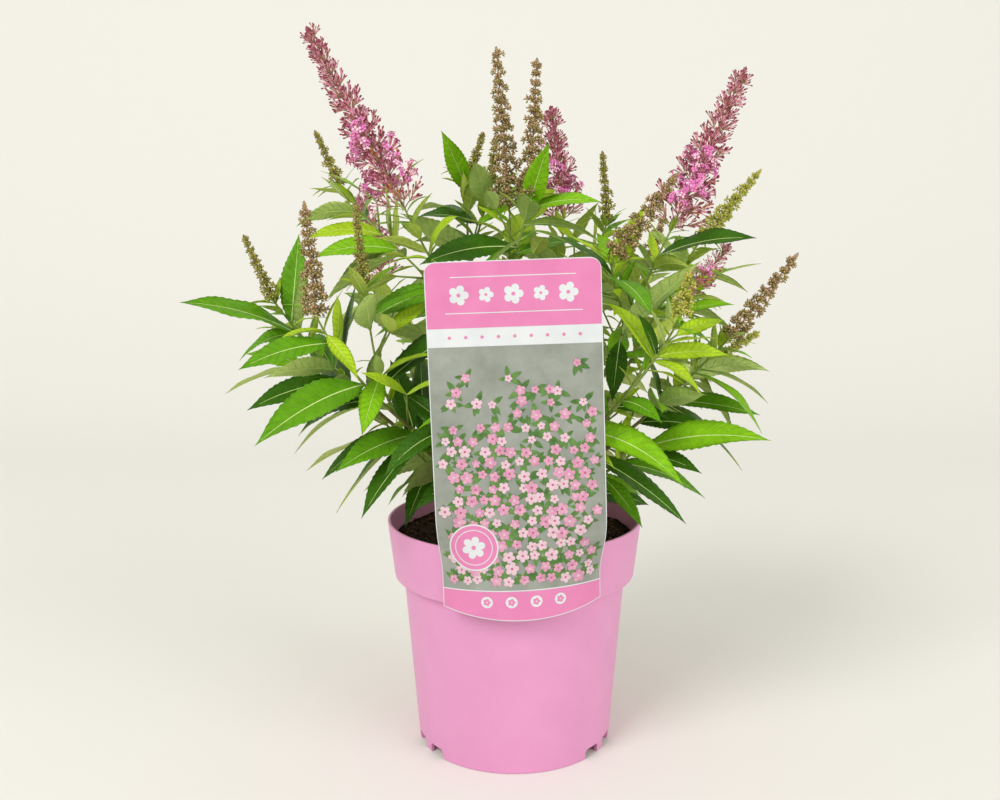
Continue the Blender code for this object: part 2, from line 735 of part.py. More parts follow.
def make_label(collection, helpers, surface):
    """The card, with round upper corners and a bowed foot, and the hook that holds it to the rim."""
    columns, rows = 9, 12
    shape = bmesh.new()
    grid = []
    for row in range(rows + 1):
        up_share = row / rows
        line = []
        for column in range(columns + 1):
            side = 2 * column / columns - 1
            across = side * LABEL_WIDTH / 2
            foot = LABEL_FOOT_ARC * side * side
            up = foot + (LABEL_HEIGHT - foot) * up_share
            if row == rows and abs(side) > 0.99:
                up -= LABEL_CORNER * 0.6
                across *= 1 - LABEL_CORNER * 0.5 / LABEL_WIDTH
            line.append(shape.verts.new(label_point(across, up)))
        grid.append(line)
    for low, high in zip(grid, grid[1:]):
        for i in range(columns):
            shape.faces.new((low[i], low[i + 1], high[i + 1], high[i]))
    mesh = bpy.data.meshes.new("plant_label")
    shape.to_mesh(mesh)
    shape.free()
    card = object_of(mesh, "plant_label", collection, surface)
    thick = card.modifiers.new("thickness", "SOLIDIFY")
    thick.thickness = LABEL_THICKNESS
    thick.offset = 1
    card = baked(card)

    # The hook's section, seen from the side: out of the card, over the rim and down inside it.
    back = -(RIM_RADIUS + LABEL_GAP)
    over = POT_HEIGHT + CLEARANCE * 2
    inside = -(RIM_RADIUS - WALL - HOOK_STAND)
    section = (
        (back - LABEL_THICKNESS / 2, over),
        (back - LABEL_THICKNESS / 2, over + 2 * HOOK_THICKNESS),
        (inside + HOOK_THICKNESS * 0.5, over + 2 * HOOK_THICKNESS),
        (inside + HOOK_THICKNESS, over + HOOK_THICKNESS),
        (inside + HOOK_THICKNESS, POT_HEIGHT - HOOK_DROP),
        (inside, POT_HEIGHT - HOOK_DROP),
        (inside, over),
    )
    outline = bpy.data.curves.new("hook", "CURVE")
    outline.dimensions = "2D"
    outline.fill_mode = "BOTH"
    outline.extrude = HOOK_WIDTH / 2
    line = outline.splines.new("POLY")
    line.points.add(len(section) - 1)
    line.use_cyclic_u = True
    for place, (y, z) in zip(line.points, section):
        place.co = (y, z, 0, 1)
    hook = bpy.data.objects.new("hook", outline)
    helpers.objects.link(hook)
    hook.matrix_world = Matrix(((0, 0, 1, 0), (1, 0, 0, 0), (0, 1, 0, 0), (0, 0, 0, 1)))
    hook = baked(hook)
    return join([card, hook], "plant_label", collection, surface)


def join(pieces, name, collection, surface):
    """One solid from overlapping closed pieces, by a single Boolean union on a collection."""
    first, *others = pieces
    together = bpy.data.collections.new("joined")
    for other in others:
        for owner in other.users_collection:
            owner.objects.unlink(other)
        together.objects.link(other)
    union = first.modifiers.new("union", "BOOLEAN")
    union.operand_type = "COLLECTION"
    union.collection = together
    union.operation = "UNION"
    union.solver = "EXACT"
    made = baked(first)
    made.name = name
    for other in list(together.objects):
        bpy.data.objects.remove(other)
    bpy.data.collections.remove(together)
    made.data.materials.clear()
    made.data.materials.append(surface)
    return made


def placed_leaf(leaf, mass, space, small=False):
    """The leaf's solid, or None if it would cross anything but its own mass at its root."""
    full = leaf.solid(grow=0.0004, small=small)
    free_part = leaf.solid(grow=0.0004, start=0.15, small=small)
    if min(point.z for point in full.points) < SOIL_TOP + 0.002:
        return None
    if space.crossed(full, mass) or space.crossed_own(free_part, mass):
        return None
    space.add(full, mass)
    return leaf.solid(small=small)


def make_stems(mass, shoots, space):
    """The main stem of a mass from its bough's tip, and the stems that fork off it."""
    pieces = []
    for shoot, curve, share in shoots:
        main = share == 0
        begin = BOUGH_SHARE + CLEARANCE * 1.3 / curve.length() if main else 0
        count = 8 if main else 6
        shares = [begin + (1 - begin) * i / (count - 1) for i in range(count)]
        points = [curve.at(s) for s in shares]
        thick = bough_radius(BOUGH_SHARE) if main else STEM_RADIUS * 1.1
        radii = [thick + (STEM_RADIUS * 0.8 - thick) * s for s in shares]
        stem = tube(points, radii, 4)
        space.add(stem, mass)
        pieces.append(stem)
    return pieces


def make_masses(curves, space, collection, surface):
    """Every mass: stems first, then spikes, the long leaves, and by turns the leaf pairs and twigs."""
    pieces = {mass: make_stems(mass, shoots, space) for mass, shoots in curves.items()}
    seeds = {mass: 11 + 7 * i for i, mass in enumerate(curves)}
    for mass, shoots in curves.items():
        for k, (shoot, _, _) in enumerate(shoots):
            if shoot.spike:
                made = spike_of(shoot, seeds[mass] + k)
                space.add(made, mass)
                pieces[mass].append(made)
    for long in LONG_LEAVES:
        curve = curves[long.mass][long.shoot][1]
        way = pointing(long.azimuth, long.rise)
        leaf = Leaf(curve.at(long.share), way, to_front(long.turn), long.length, long.sag)
        made = placed_leaf(leaf, long.mass, space)
        if made:
            pieces[long.mass].append(made)
    queues = {}
    for mass, shoots in curves.items():
        queue = []
        for k, (_, curve, share) in enumerate(shoots):
            first = 0.12 if share else BOUGH_SHARE + 0.02
            queue += leaves_of(curve, first, seeds[mass] + 31 * k)
        queues[mass] = queue[::-1]
    while any(queues.values()):
        for mass, queue in queues.items():
            if not queue:
                continue
            made = placed_leaf(queue.pop(), mass, space)
            if made:
                pieces[mass].append(made)
    for mass, shoots in curves.items():
        for k, (_, curve, share) in enumerate(shoots):
            first = 0.15 if share else BOUGH_SHARE + 0.05
            for start, end, leaves in twigs_of(curve, first, seeds[mass] + 31 * k):
                probe = tube([start, end], [0.0012, 0.0012], 3)
                free_part = tube([start.lerp(end, 0.25), end], [0.0012, 0.0012], 3)
                if space.crossed(probe, mass) or space.crossed_own(free_part, mass):
                    continue
                made = [placed_leaf(leaf, mass, space, small=True) for leaf in leaves]
                made = [leaf for leaf in made if leaf]
                if made:
                    space.add(probe, mass)
                    pieces[mass] += made
                    pieces[mass].append(tube([start, end], [TWIG_RADIUS, TWIG_RADIUS * 0.85], 3))
    for mass, made in pieces.items():
        items = [object_from(piece, "piece", collection) for piece in made]
        join(items, mass, collection, surface)


def main():
    clear_scene()
    bush = collection_named("butterfly_bush")
    helpers = collection_named("helpers")
    helpers.hide_render = True
    wood = material("brown_wood", BROWN_WOOD, 0.85)
    stem = material("green_stem", GREEN_STEM, 0.60)
    leaf = material("green_leaf", GREEN_LEAF, 0.55)
    plastic = material("pink_plastic", PINK_PLASTIC, 0.40)
    soil = material("dark_soil", DARK_SOIL, 0.95)
    card = material("label_pink", LABEL_PINK, 0.35)

    space = Space()
    space.add(solid_of(make_pot(bush, helpers, plastic)), "pot")
    space.add(solid_of(make_soil(bush, soil)), "soil")
    space.add(solid_of(make_label(bush, helpers, card)), "label")
    space.add(solid_of(make_woody_foot(bush, wood)), "foot")
    curves, seats = grow_curves()
    for mass, shoots in curves.items():
        bough = bough_of(shoots[0][1], seats[mass])
        space.add(bough, mass + "_bough")
        object_from(bough, mass + "_bough", bush, stem)
    make_masses(curves, space, bush, leaf)


main()
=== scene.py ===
"""The looks of the potted butterfly bush, grown by the CAD model's own rule and finished in detail.

Metres, +Z up, front to -Y. The shoots, leaf pairs and spikes repeat the model's seeded rule, so that
they lie where its masses are. More leaves and finer twigs then fill the same reach.
"""

import math
import random
from collections import namedtuple

import bpy
from mathutils import Matrix, Vector, noise
from mathutils.bvhtree import BVHTree

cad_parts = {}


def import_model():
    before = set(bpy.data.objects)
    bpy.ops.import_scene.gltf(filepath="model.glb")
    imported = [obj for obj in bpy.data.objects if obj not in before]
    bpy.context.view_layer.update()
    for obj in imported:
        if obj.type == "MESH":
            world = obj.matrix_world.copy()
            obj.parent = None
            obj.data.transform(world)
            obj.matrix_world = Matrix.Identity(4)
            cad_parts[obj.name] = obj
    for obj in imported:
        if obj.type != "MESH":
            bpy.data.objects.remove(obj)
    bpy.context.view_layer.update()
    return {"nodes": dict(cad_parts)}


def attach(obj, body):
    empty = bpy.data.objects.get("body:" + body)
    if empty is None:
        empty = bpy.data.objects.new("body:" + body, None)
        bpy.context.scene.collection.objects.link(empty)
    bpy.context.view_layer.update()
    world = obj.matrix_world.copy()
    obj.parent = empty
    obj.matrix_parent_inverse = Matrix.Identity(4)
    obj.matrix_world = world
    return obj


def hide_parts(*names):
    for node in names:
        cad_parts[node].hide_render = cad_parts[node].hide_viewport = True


UP = Vector((0, 0, 1))

# Pot and soil, as in the CAD model.
POT_HEIGHT = 0.170
RIM_RADIUS = 0.095
COLLAR_DEPTH = 0.042
COLLAR_FOOT_RADIUS = 0.090
WALL_TOP_RADIUS = 0.0834
WALL_FOOT_RADIUS = 0.073
WALL = 0.0022
FLOOR = 0.0025
CHANNEL_HEIGHT = 0.008
CHANNEL_RADIUS = 0.051
NOTCH_ANGLES = (51, 69)
NOTCH_WIDTH = 0.0150
SOIL_TOP = POT_HEIGHT - 0.014

# Woody foot and shoots, as in the CAD model.
FOOT_HEIGHT = 0.046
FOOT_TOP_RADIUS = 0.0080
FOOT_BASE_RADIUS = 0.0100
FLARE_RADIUS = 0.0150
FLARE_HEIGHT = 0.012
FLARE_LOBES = 5
FOOT_LEAN = 0.003
CLEARANCE = 0.0003
TIERS = (0.0140, 0.0235, 0.0330)
TOP_FEET = 4
TOP_FOOT_RING = 0.0046
TOP_FOOT_START = 45
FOOT_GAP = 0.0006
SIDE_RISE = 26
LOW_RISE = 2
BOUGH_RADIUS = 0.0021
STEM_RADIUS = 0.0009
TWIG_RADIUS = 0.0009
BOUGH_SHARE = 0.30
CURVE_STEPS = 40

LEAF_LENGTH = 0.088
LEAF_WIDTH = 0.30
LEAF_THICKNESS = 0.015
LEAF_SAG = 0.75
LEAF_FOLD = 0.16
NODE_SPACING = 0.036
FIRST_LEAF = 0.010

# Plant label, as in the CAD model.
LABEL_WIDTH = 0.113
LABEL_HEIGHT = 0.240
LABEL_FOOT = 0.123
LABEL_SHIFT = 0.007
LABEL_TURN = math.radians(2.0)
LABEL_THICKNESS = 0.0009
LABEL_FOOT_ARC = 0.008
LABEL_WRAP_TOP = 0.200
LABEL_WRAP_END = 0.150
LABEL_GAP = 0.0004

# Each shoot: where it ends, and its spike's kind, length, tilt and heading. A shoot with a fork leaves
# the first one of its mass at that share of it.
Shoot = namedtuple("Shoot", "mass azimuth reach height spike length tilt heading fork", defaults=(0,))
SHOOTS = (
    Shoot("left_high", -162, 0.080, 0.396, "bloom", 0.138, 28, -175),
    Shoot("left_high", 161, 0.140, 0.416, "green", 0.047, 26, 165, 0.34),
    Shoot("left_front", -152, 0.149, 0.325, "brown", 0.076, 5, -140),
    Shoot("left_front", -156, 0.113, 0.346, "green", 0.055, 6, -130, 0.30),
    Shoot("left_low", -171, 0.172, 0.333, "green", 0.050, 23, 180),
    Shoot("centre", 105, 0.014, 0.398, "brown", 0.116, 5, 160),
    Shoot("centre", 20, 0.012, 0.404, "brown", 0.100, 3, 20, 0.55),
    Shoot("back_left_high", 122, 0.066, 0.424, "green", 0.036, 20, 20),
    Shoot("back_left_high", 112, 0.046, 0.420, "green", 0.034, 5, 20, 0.50),
    Shoot("back_high", 66, 0.098, 0.390, "bloom", 0.092, 7, 180),
    Shoot("back_high", 28, 0.080, 0.390, "green", 0.052, 5, 170, 0.35),
    Shoot("right_high", -10, 0.112, 0.382, "bloom", 0.122, 24, 0),
    Shoot("right_high", -42, 0.090, 0.366, "brown", 0.068, 38, -8, 0.45),
    Shoot("right_back", 12, 0.146, 0.378, "lime", 0.068, 42, 13),
    Shoot("right_front", -37, 0.136, 0.326, "lime", 0.032, 12, -45),
    Shoot("right_front", -17, 0.125, 0.336, "rosy", 0.046, 39, 0, 0.45),
    Shoot("right_low", -9, 0.155, 0.306, "brown", 0.076, 37, -7),
    Shoot("right_low", 5, 0.138, 0.280, "lime", 0.060, 64, 20, 0.35),
    Shoot("back_right", 47, 0.158, 0.345, "brown", 0.062, 30, 45),
    Shoot("back_middle", 90, 0.152, 0.352, "green", 0.050, 26, 95),
    Shoot("back_left", 133, 0.160, 0.340, "bloom", 0.085, 28, 130),
    Shoot("low_left", 174, 0.106, 0.244, None, 0, 60, 174),
    Shoot("low_right", -24, 0.104, 0.232, None, 0, 70, -22),
    Shoot("low_front_left", -121, 0.088, 0.262, None, 0, 50, -120),
    Shoot("low_front_right", -57, 0.096, 0.262, None, 0, 50, -55),
    Shoot("low_back_left", 142, 0.118, 0.260, None, 0, 60, 142),
    Shoot("low_back_right", 70, 0.116, 0.262, None, 0, 60, 68),
)

# Tones: the surfaces of the leaves, stems, flowers and buds by number.
DEEP_LEAF, GREEN_LEAF, BRIGHT_LEAF, YOUNG_LEAF, LEAF_BACK, YOUNG_BACK = range(6)
STEM_GREEN, STEM_OLIVE, STEM_BARK, STEM_TAN = range(4)
PETAL, PALE_PETAL, TUBE, CALYX, TIP, RUST = range(6)
BUD_DARK, BUD_OLIVE, BUD_LIME, BUD_ROSE, BUD_TAN = range(5)

# The tones of a bud's calyx, body and tip, by the state of its spike.
IN_FLOWER = (CALYX, TUBE, TIP)
SPENT = (BUD_OLIVE, BUD_TAN, BUD_DARK)
IN_BUD = (BUD_LIME, BUD_OLIVE, BUD_DARK)
FRESH = (BUD_LIME, BUD_LIME, BUD_OLIVE)

# How far a spike's clusters reach at its base and tip, the gaps between its nodes there, the buds of
# a cyme, a bud's length, how many times wider a long spike's looks are at the base, how often its
# lowest cymes flower, and the tones of its stalks and buds.
Spike = namedtuple("Spike", "base_radius tip_radius low_gap high_gap buds bud_length flare open stem tones")
SPIKES = {
    "bloom": Spike(0.0230, 0.0065, 0.0112, 0.0076, 27, 0.0088, 1.00, 0.80, STEM_TAN, IN_FLOWER),
    "rosy": Spike(0.0115, 0.0055, 0.0080, 0.0060, 15, 0.0058, 0.85, 0.60, STEM_TAN, IN_FLOWER),
    "brown": Spike(0.0095, 0.0050, 0.0080, 0.0058, 25, 0.0031, 1.35, 0, STEM_TAN, SPENT),
    "green": Spike(0.0075, 0.0040, 0.0056, 0.0040, 14, 0.0028, 1.05, 0, STEM_OLIVE, IN_BUD),
    "lime": Spike(0.0090, 0.0045, 0.0064, 0.0048, 18, 0.0031, 1.30, 0, STEM_GREEN, FRESH),
}
FLARE_LENGTH = 0.1

# The long leaves that stand out, by mass: the shoot and the share of it where a leaf starts, its heading,
# rise, length and sag, how far its face turns to the front, and its tone.
Long = namedtuple("Long", "shoot share azimuth rise length sag turn tone")
LONG_LEAVES = {
    "left_low": (
        (0, 0.84, -140, 31, 0.094, 0.50, 20, 1),
        (0, 0.64, -150, 2, 0.074, 0.50, 35, 0),
        (0, 0.70, 174, 6, 0.084, 0.70, 0, 1),
        (0, 0.90, 80, 74, 0.066, 0.10, 60, 1),
    ),
    "left_front": (
        (0, 0.88, -144, 3, 0.068, 0.50, 35, 1),
        (0, 0.68, -129, -3, 0.098, 0.50, 45, 1),
        (0, 0.92, -36, -36, 0.041, 0.40, 30, 3),
        (0, 0.40, -132, 3, 0.077, 0.50, 40, 1),
        (1, 0.30, -99, -27, 0.056, 0.40, 50, 2),
    ),
    "left_high": (
        (0, 0.68, -172, -4, 0.064, 0.50, 55, 1),
        (1, 0.80, -126, 45, 0.036, 0.30, 30, 3),
        (1, 0.62, 178, 20, 0.060, 0.80, 30, 3),
        (1, 0.50, -170, 15, 0.064, 0.70, 40, 2),
    ),
    "low_left": (
        (0, 0.80, 172, -6, 0.080, 0.60, 0, 1),
        (0, 0.52, -120, -45, 0.052, 0.30, 40, 0),
    ),
    "low_front_left": (
        (0, 0.46, -137, -48, 0.050, 0.40, 20, 0),
        (0, 0.84, -150, 0, 0.062, 1.00, 30, 0),
    ),
    "back_left_high": (
        (0, 0.94, -120, 54, 0.056, 0.20, 60, 2),
        (1, 0.50, -132, 18, 0.066, 0.50, 40, 0),
    ),
    "centre": (
        (1, 0.44, -150, 6, 0.081, 0.50, 40, 0),
        (1, 0.86, -63, 60, 0.057, 0.30, 70, 2),
        (1, 0.88, -20, 22, 0.056, 0.60, 30, 2),
        (0, 0.80, 8, 30, 0.080, 0.90, 20, 1),
    ),
    "right_high": (
        (0, 0.90, -33, 24, 0.074, 0.50, 25, 0),
        (0, 0.84, 12, 12, 0.078, 0.80, 0, 1),
        (0, 0.62, -50, 42, 0.088, 0.20, 0, 2),
        (0, 0.60, -105, -48, 0.050, 0.30, 40, 0),
        (1, 0.06, -12, 40, 0.090, 0.20, 0, 2),
    ),
    "right_back": (
        (0, 0.74, 6, 34, 0.082, 0.50, 10, 1),
    ),
    "right_front": (
        (1, 0.84, -36, 20, 0.044, 0.40, 30, 2),
        (1, 0.56, -66, -21, 0.048, 0.40, -100, 2),
        (0, 0.62, -60, 6, 0.046, 0.60, 50, 1),
    ),
    "right_low": (
        (0, 0.52, -34, 14, 0.062, 0.50, 35, 0),
        (0, 0.64, -14, 6, 0.070, 0.40, 20, 1),
    ),
    "low_right": (
        (0, 0.60, -34, -34, 0.048, 0.50, 20, 1),
        (0, 0.96, -39, 24, 0.098, 0.50, 35, 2),
        (0, 0.86, -44, 10, 0.060, 0.50, 35, 0),
        (0, 0.74, 10, -4, 0.074, 0.70, 20, 1),
    ),
    "low_front_right": (
        (0, 0.84, -24, 0, 0.082, 0.90, 35, 2),
    ),
}

# Camera, in the photograph's place: the pot's axis stands a little right of the frame's middle.
CAMERA_BACK = 0.750
CAMERA_HEIGHT = 0.374
CAMERA_PITCH = 8.8
CAMERA_LENS = 36.8
CAMERA_SHIFT = -0.0143


def around(azimuth):
    angle = math.radians(azimuth)
    return Vector((math.cos(angle), math.sin(angle), 0))


def pointing(azimuth, rise):
    return turned(around(azimuth), UP, math.radians(rise))


def square_to(vector, axis):
    flat = vector - axis * vector.dot(axis)
    return flat.normalized() if flat.length > 1e-9 else axis.orthogonal().normalized()


def turned(side, other, angle):
    """The way at an angle from side towards other."""
    return side * math.cos(angle) + other * math.sin(angle)


def smooth_step(low, high, value):
    t = max(0, min(1, (value - low) / (high - low)))
    return t * t * (3 - 2 * t)


class Curve:
    """A smooth path, held as evenly spaced points."""

    def __init__(self, start, leave, arrive, end):
        span = (end - start).length
        first = start + leave.normalized() * span * 0.36
        last = end - arrive.normalized() * span * 0.30
        self.points = []
        for step in range(CURVE_STEPS + 1):
            t = step / CURVE_STEPS
            s = 1 - t
            self.points.append(
                start * s**3 + first * 3 * s * s * t + last * 3 * s * t * t + end * t**3
            )

    def at(self, share):
        place = max(0, min(1, share)) * CURVE_STEPS
        index = min(int(place), CURVE_STEPS - 1)
        return self.points[index].lerp(self.points[index + 1], place - index)

    def along(self, share):
        return (self.at(share + 0.02) - self.at(share - 0.02)).normalized()

    def length(self):
        return sum((b - a).length for a, b in zip(self.points, self.points[1:]))


def foot_centre(height):
    return Vector((-FOOT_LEAN * (height / FOOT_HEIGHT) ** 2, 0, SOIL_TOP + CLEARANCE + height))


def foot_radius(height, angle):
    taper = FOOT_BASE_RADIUS + (FOOT_TOP_RADIUS - FOOT_BASE_RADIUS) * height / FOOT_HEIGHT
    flare = max(0, 1 - height / FLARE_HEIGHT) ** 2
    lobes = 1 + 0.35 * math.cos(FLARE_LOBES * angle)
    return taper + (FLARE_RADIUS - FOOT_BASE_RADIUS) * flare * lobes


def shoot_end(shoot):
    return around(shoot.azimuth) * shoot.reach + UP * shoot.height


def spike_way(shoot):
    return pointing(shoot.heading, 90 - shoot.tilt)


def steepness(shoot):
    rise = shoot_end(shoot) - foot_centre(FOOT_HEIGHT)
    return rise.z / rise.length


def foot_places(mains):
    """Where each main shoot starts on the woody foot, and its first direction."""
    def turn(shoot):
        return shoot.azimuth % 360

    flowering = [shoot for shoot in mains if shoot.spike]
    by_steepness = sorted(flowering, key=steepness, reverse=True)
    top = sorted(by_steepness[:TOP_FEET], key=turn)
    side = sorted(by_steepness[TOP_FEET:], key=turn)
    low = [shoot for shoot in mains if not shoot.spike]
    places = {}
    for i, shoot in enumerate(top):
        out = around(360 / TOP_FEET * i + TOP_FOOT_START)
        start = foot_centre(FOOT_HEIGHT) + out * TOP_FOOT_RING + UP * FOOT_GAP
        places[shoot.mass] = (start, UP * 0.97 + out * 0.24)
    feet = [(shoot, turn(shoot), TIERS[0], LOW_RISE) for shoot in low]
    for i, shoot in enumerate(side):
        even = turn(side[0]) + 360 * i / len(side)
        feet.append((shoot, (turn(shoot) + even) / 2, TIERS[1 + i % 2], SIDE_RISE))
    for shoot, azimuth, height, rise in feet:
        out = around(azimuth)
        surface = foot_radius(height, math.radians(azimuth))
        start = foot_centre(height) + out * (surface + FOOT_GAP)
        places[shoot.mass] = (start, pointing(azimuth, rise))
    return places


def grow_curves():
    """The main curve of each mass with those that fork off it."""
    mains = {}
    for shoot in SHOOTS:
        mains.setdefault(shoot.mass, shoot)
    places = foot_places(list(mains.values()))
    curves = {}
    for mass, shoot in mains.items():
        start, leave = places[mass]
        end = shoot_end(shoot)
        straight = (end - start).normalized()
        leave = leave.normalized() * 0.55 + straight * 0.45
        arrive = spike_way(shoot) * 0.5 + straight * 0.5
        curves[mass] = [(shoot, Curve(start, leave, arrive, end), 0)]
    for shoot in SHOOTS:
        if shoot is mains[shoot.mass]:
            continue
        main = curves[shoot.mass][0][1]
        share = BOUGH_SHARE + (1 - BOUGH_SHARE) * shoot.fork
        start = main.at(share)
        end = shoot_end(shoot)
        straight = (end - start).normalized()
        leave = main.along(share) * 0.5 + straight * 0.5
        arrive = spike_way(shoot) * 0.5 + straight * 0.5
        curves[shoot.mass].append((shoot, Curve(start, leave, arrive, end), share))
    return curves


def bough_radius(share):
    return BOUGH_RADIUS + (STEM_RADIUS - BOUGH_RADIUS) * share


Solid = namedtuple("Solid", "points faces")


def loft(rings):
    """Faces through rings of points, where a ring of one point is a tip."""
    points, faces, starts = [], [], []
    for ring in rings:
        starts.append(len(points))
        points += ring
    for i in range(len(rings) - 1):
        low, high = starts[i], starts[i + 1]
        low_count, high_count = len(rings[i]), len(rings[i + 1])
        count = max(low_count, high_count)
        for k in range(count):
            n = (k + 1) % count
            if low_count > 1 and high_count > 1:
                faces.append((low + k, low + n, high + n, high + k))
            elif low_count > 1:
                faces.append((low + k, low + n, high))
            else:
                faces.append((low, high + n, high + k))
    for ring, start, flip in ((rings[0], starts[0], -1), (rings[-1], starts[-1], 1)):
        if len(ring) > 2:
            faces.append(tuple(range(start, start + len(ring)))[::flip])
    return Solid(points, faces)


def tube(points, radii, sides, squareness=0.0):
    """A tapering limb, round or nearly square in section."""
    rings = []
    side_way = square_to(Vector((0.3, 1, 0.2)), (points[1] - points[0]).normalized())
    for i, (point, radius) in enumerate(zip(points, radii)):
        way = (points[min(i + 1, len(points) - 1)] - points[max(i - 1, 0)]).normalized()
        side_way = square_to(side_way, way)
        other = way.cross(side_way)
        ring = []
        for k in range(sides):
            angle = 2 * math.pi * k / sides
            reach = radius * (1 + squareness * math.cos(4 * angle))
            ring.append(point + turned(side_way, other, angle) * reach)
        rings.append(ring)
    return loft(rings)


class Leaf:
    """A leaf's rule: a midrib that sags under gravity, and a lance-shaped blade folded along it."""

    def __init__(self, root, way, face, length, sag, width=LEAF_WIDTH):
        self.root = root
        self.way = way.normalized()
        self.face = square_to(face, self.way)
        self.length = length
        self.sag = sag
        self.width = width

    def frames(self, shares, steps=20):
        """(point, face, side) on the midrib at each share of its length."""
        found = []
        point, way, face = self.root.copy(), self.way.copy(), self.face.copy()
        path = [(point.copy(), way.copy(), face.copy())]
        for _ in range(steps):
            way = (way - UP * self.sag / steps).normalized()
            face = square_to(face, way)
            point = point + way * self.length / steps
            path.append((point.copy(), way.copy(), face.copy()))
        for share in shares:
            point, way, face = path[round(share * steps)]
            found.append((point, face, way.cross(face)))
        return found

    def half_width(self, share):
        bulge = share**0.85 * (1 - share) ** 1.05 / 0.2653
        return self.length * self.width / 2 * max(0.05 * (1 - share), bulge)

    def solid(self, grow=0.0, start=0.0, small=False):
        """The blade as the CAD model makes it, which tests whether its place is free."""
        shares = (start, 0.5, 1.0) if small else (start, 0.3, 0.65, 1.0)
        rings = []
        for share, (point, face, side) in zip(shares, self.frames(shares)):
            if share == 1.0:
                rings.append([point])
                continue
            half = self.half_width(share) + grow
            thick = max(0.5 * LEAF_THICKNESS * self.length, 0.00045) * (1.1 - 0.4 * share) + grow
            lift = face * (half * LEAF_FOLD)
            rings.append([
                point + side * half + lift,
                point + face * thick,
                point - side * half + lift,
                point - face * thick,
            ])
        return loft(rings)


def to_light(root, along, tilt):
    """The way a leaf's face turns: up and outward, to the light, and a little aside."""
    outward = Vector((root.x, root.y, 0)).normalized()
    return along * 0.4 + UP * 0.6 + outward * 0.6 + outward.cross(UP) * tilt


def to_front(turn):
    """A face turned from straight up towards the front by so many degrees."""
    angle = math.radians(turn)
    return UP * math.cos(angle) - Vector((0.01, math.sin(angle), 0))


def leaf_size(share):
    return LEAF_LENGTH * (1.0 - 0.42 * max(0, share - 0.45) / 0.55)


def leaves_of(curve, first_share, seed):
    """Opposite pairs along a shoot, each pair turned a quarter from the last."""
    rng = random.Random(seed)
    made = []
    length = curve.length()
    nodes = max(2, int(length * (1 - first_share) / NODE_SPACING))
    phase = rng.uniform(0, math.pi)
    for node in range(nodes):
        share = first_share + FIRST_LEAF / length + (0.97 - first_share) * node / nodes
        point, along = curve.at(share), curve.along(share)
        side = square_to(Vector((0, 0, 1)) if abs(along.z) < 0.9 else Vector((1, 0, 0)), along)
        other = along.cross(side)
        spread = math.radians(rng.uniform(56, 74) - 14 * share)
        for half in (0, 1):
            angle = phase + node * math.pi / 2 + half * math.pi + rng.uniform(-0.25, 0.25)
            out = turned(side, other, angle)
            way = turned(along, out, spread)
            size = leaf_size(share) * rng.uniform(0.82, 1.08)
            sag = LEAF_SAG * rng.uniform(0.5, 1.5)
            root = point - out * 0.0005
            made.append(Leaf(root, way, to_light(root, along, rng.uniform(-0.4, 0.4)), size, sag))
    return made


def twigs_of(curve, first_share, seed):
    """Short side twigs from the leaf axils, each with small leaves at its end."""
    rng = random.Random(seed + 500)
    made = []
    length = curve.length()
    count = max(1, int(length * (1 - first_share) / (1.6 * NODE_SPACING)))
    for i in range(count):
        share = first_share + (0.86 - first_share) * (i + 0.4) / count
        point, along = curve.at(share), curve.along(share)
        out = square_to(around(rng.uniform(0, 360)) + UP * 0.2, along)
        way = (along * 0.75 + out * 0.75).normalized()
        reach = rng.uniform(0.020, 0.034)
        end = point + way * reach
        across = square_to(UP * 0.3 + around(rng.uniform(0, 360)), way)
        leaves = []
        for turn in (-1, 1):
            lean = way * 0.75 + across * turn * 0.75
            size = rng.uniform(0.034, 0.050)
            leaves.append(Leaf(end - lean * 0.0004, lean, way + UP * 0.4, size, 0.4, 0.30))
        made.append((point - way * 0.0005, end + way * 0.0008, leaves))
    return made


def spike_of(shoot, seed):
    """The spike's CAD solid, which keeps leaves out of the flowers."""
    rng = random.Random(seed + 900)
    kind = SPIKES[shoot.spike]
    lobes, spacing = (4, 0.0150) if shoot.spike == "bloom" else (3, 0.0150)
    spacing = 0.0145 if shoot.spike == "green" else spacing
    base, way = shoot_end(shoot), spike_way(shoot)
    side = square_to(Vector((0.2, 1, 0)), way)
    other = way.cross(side)
    whorls = max(3, round(shoot.length / spacing))
    sides = 2 * lobes
    rings = [[base - way * 0.004]]
    for whorl in range(whorls):
        share = (whorl + 0.5) / whorls
        reach = kind.base_radius + (kind.tip_radius - kind.base_radius) * share**0.8
        for rise, valley in ((-0.38, True), (0.12, False)):
            middle = base + way * shoot.length * (share + rise / whorls)
            ring = []
            for k in range(sides):
                angle = math.pi * (2 * k + whorl % 2) / sides
                out = turned(side, other, angle)
                crest = (k + whorl) % 2 == 0
                size = 0.42 if valley else (rng.uniform(0.88, 1.08) if crest else 0.66)
                lift = way * reach * (0.35 if crest and not valley else 0)
                ring.append(middle + out * reach * size + lift)
            rings.append(ring)
    rings.append([base + way * shoot.length])
    return loft(rings)


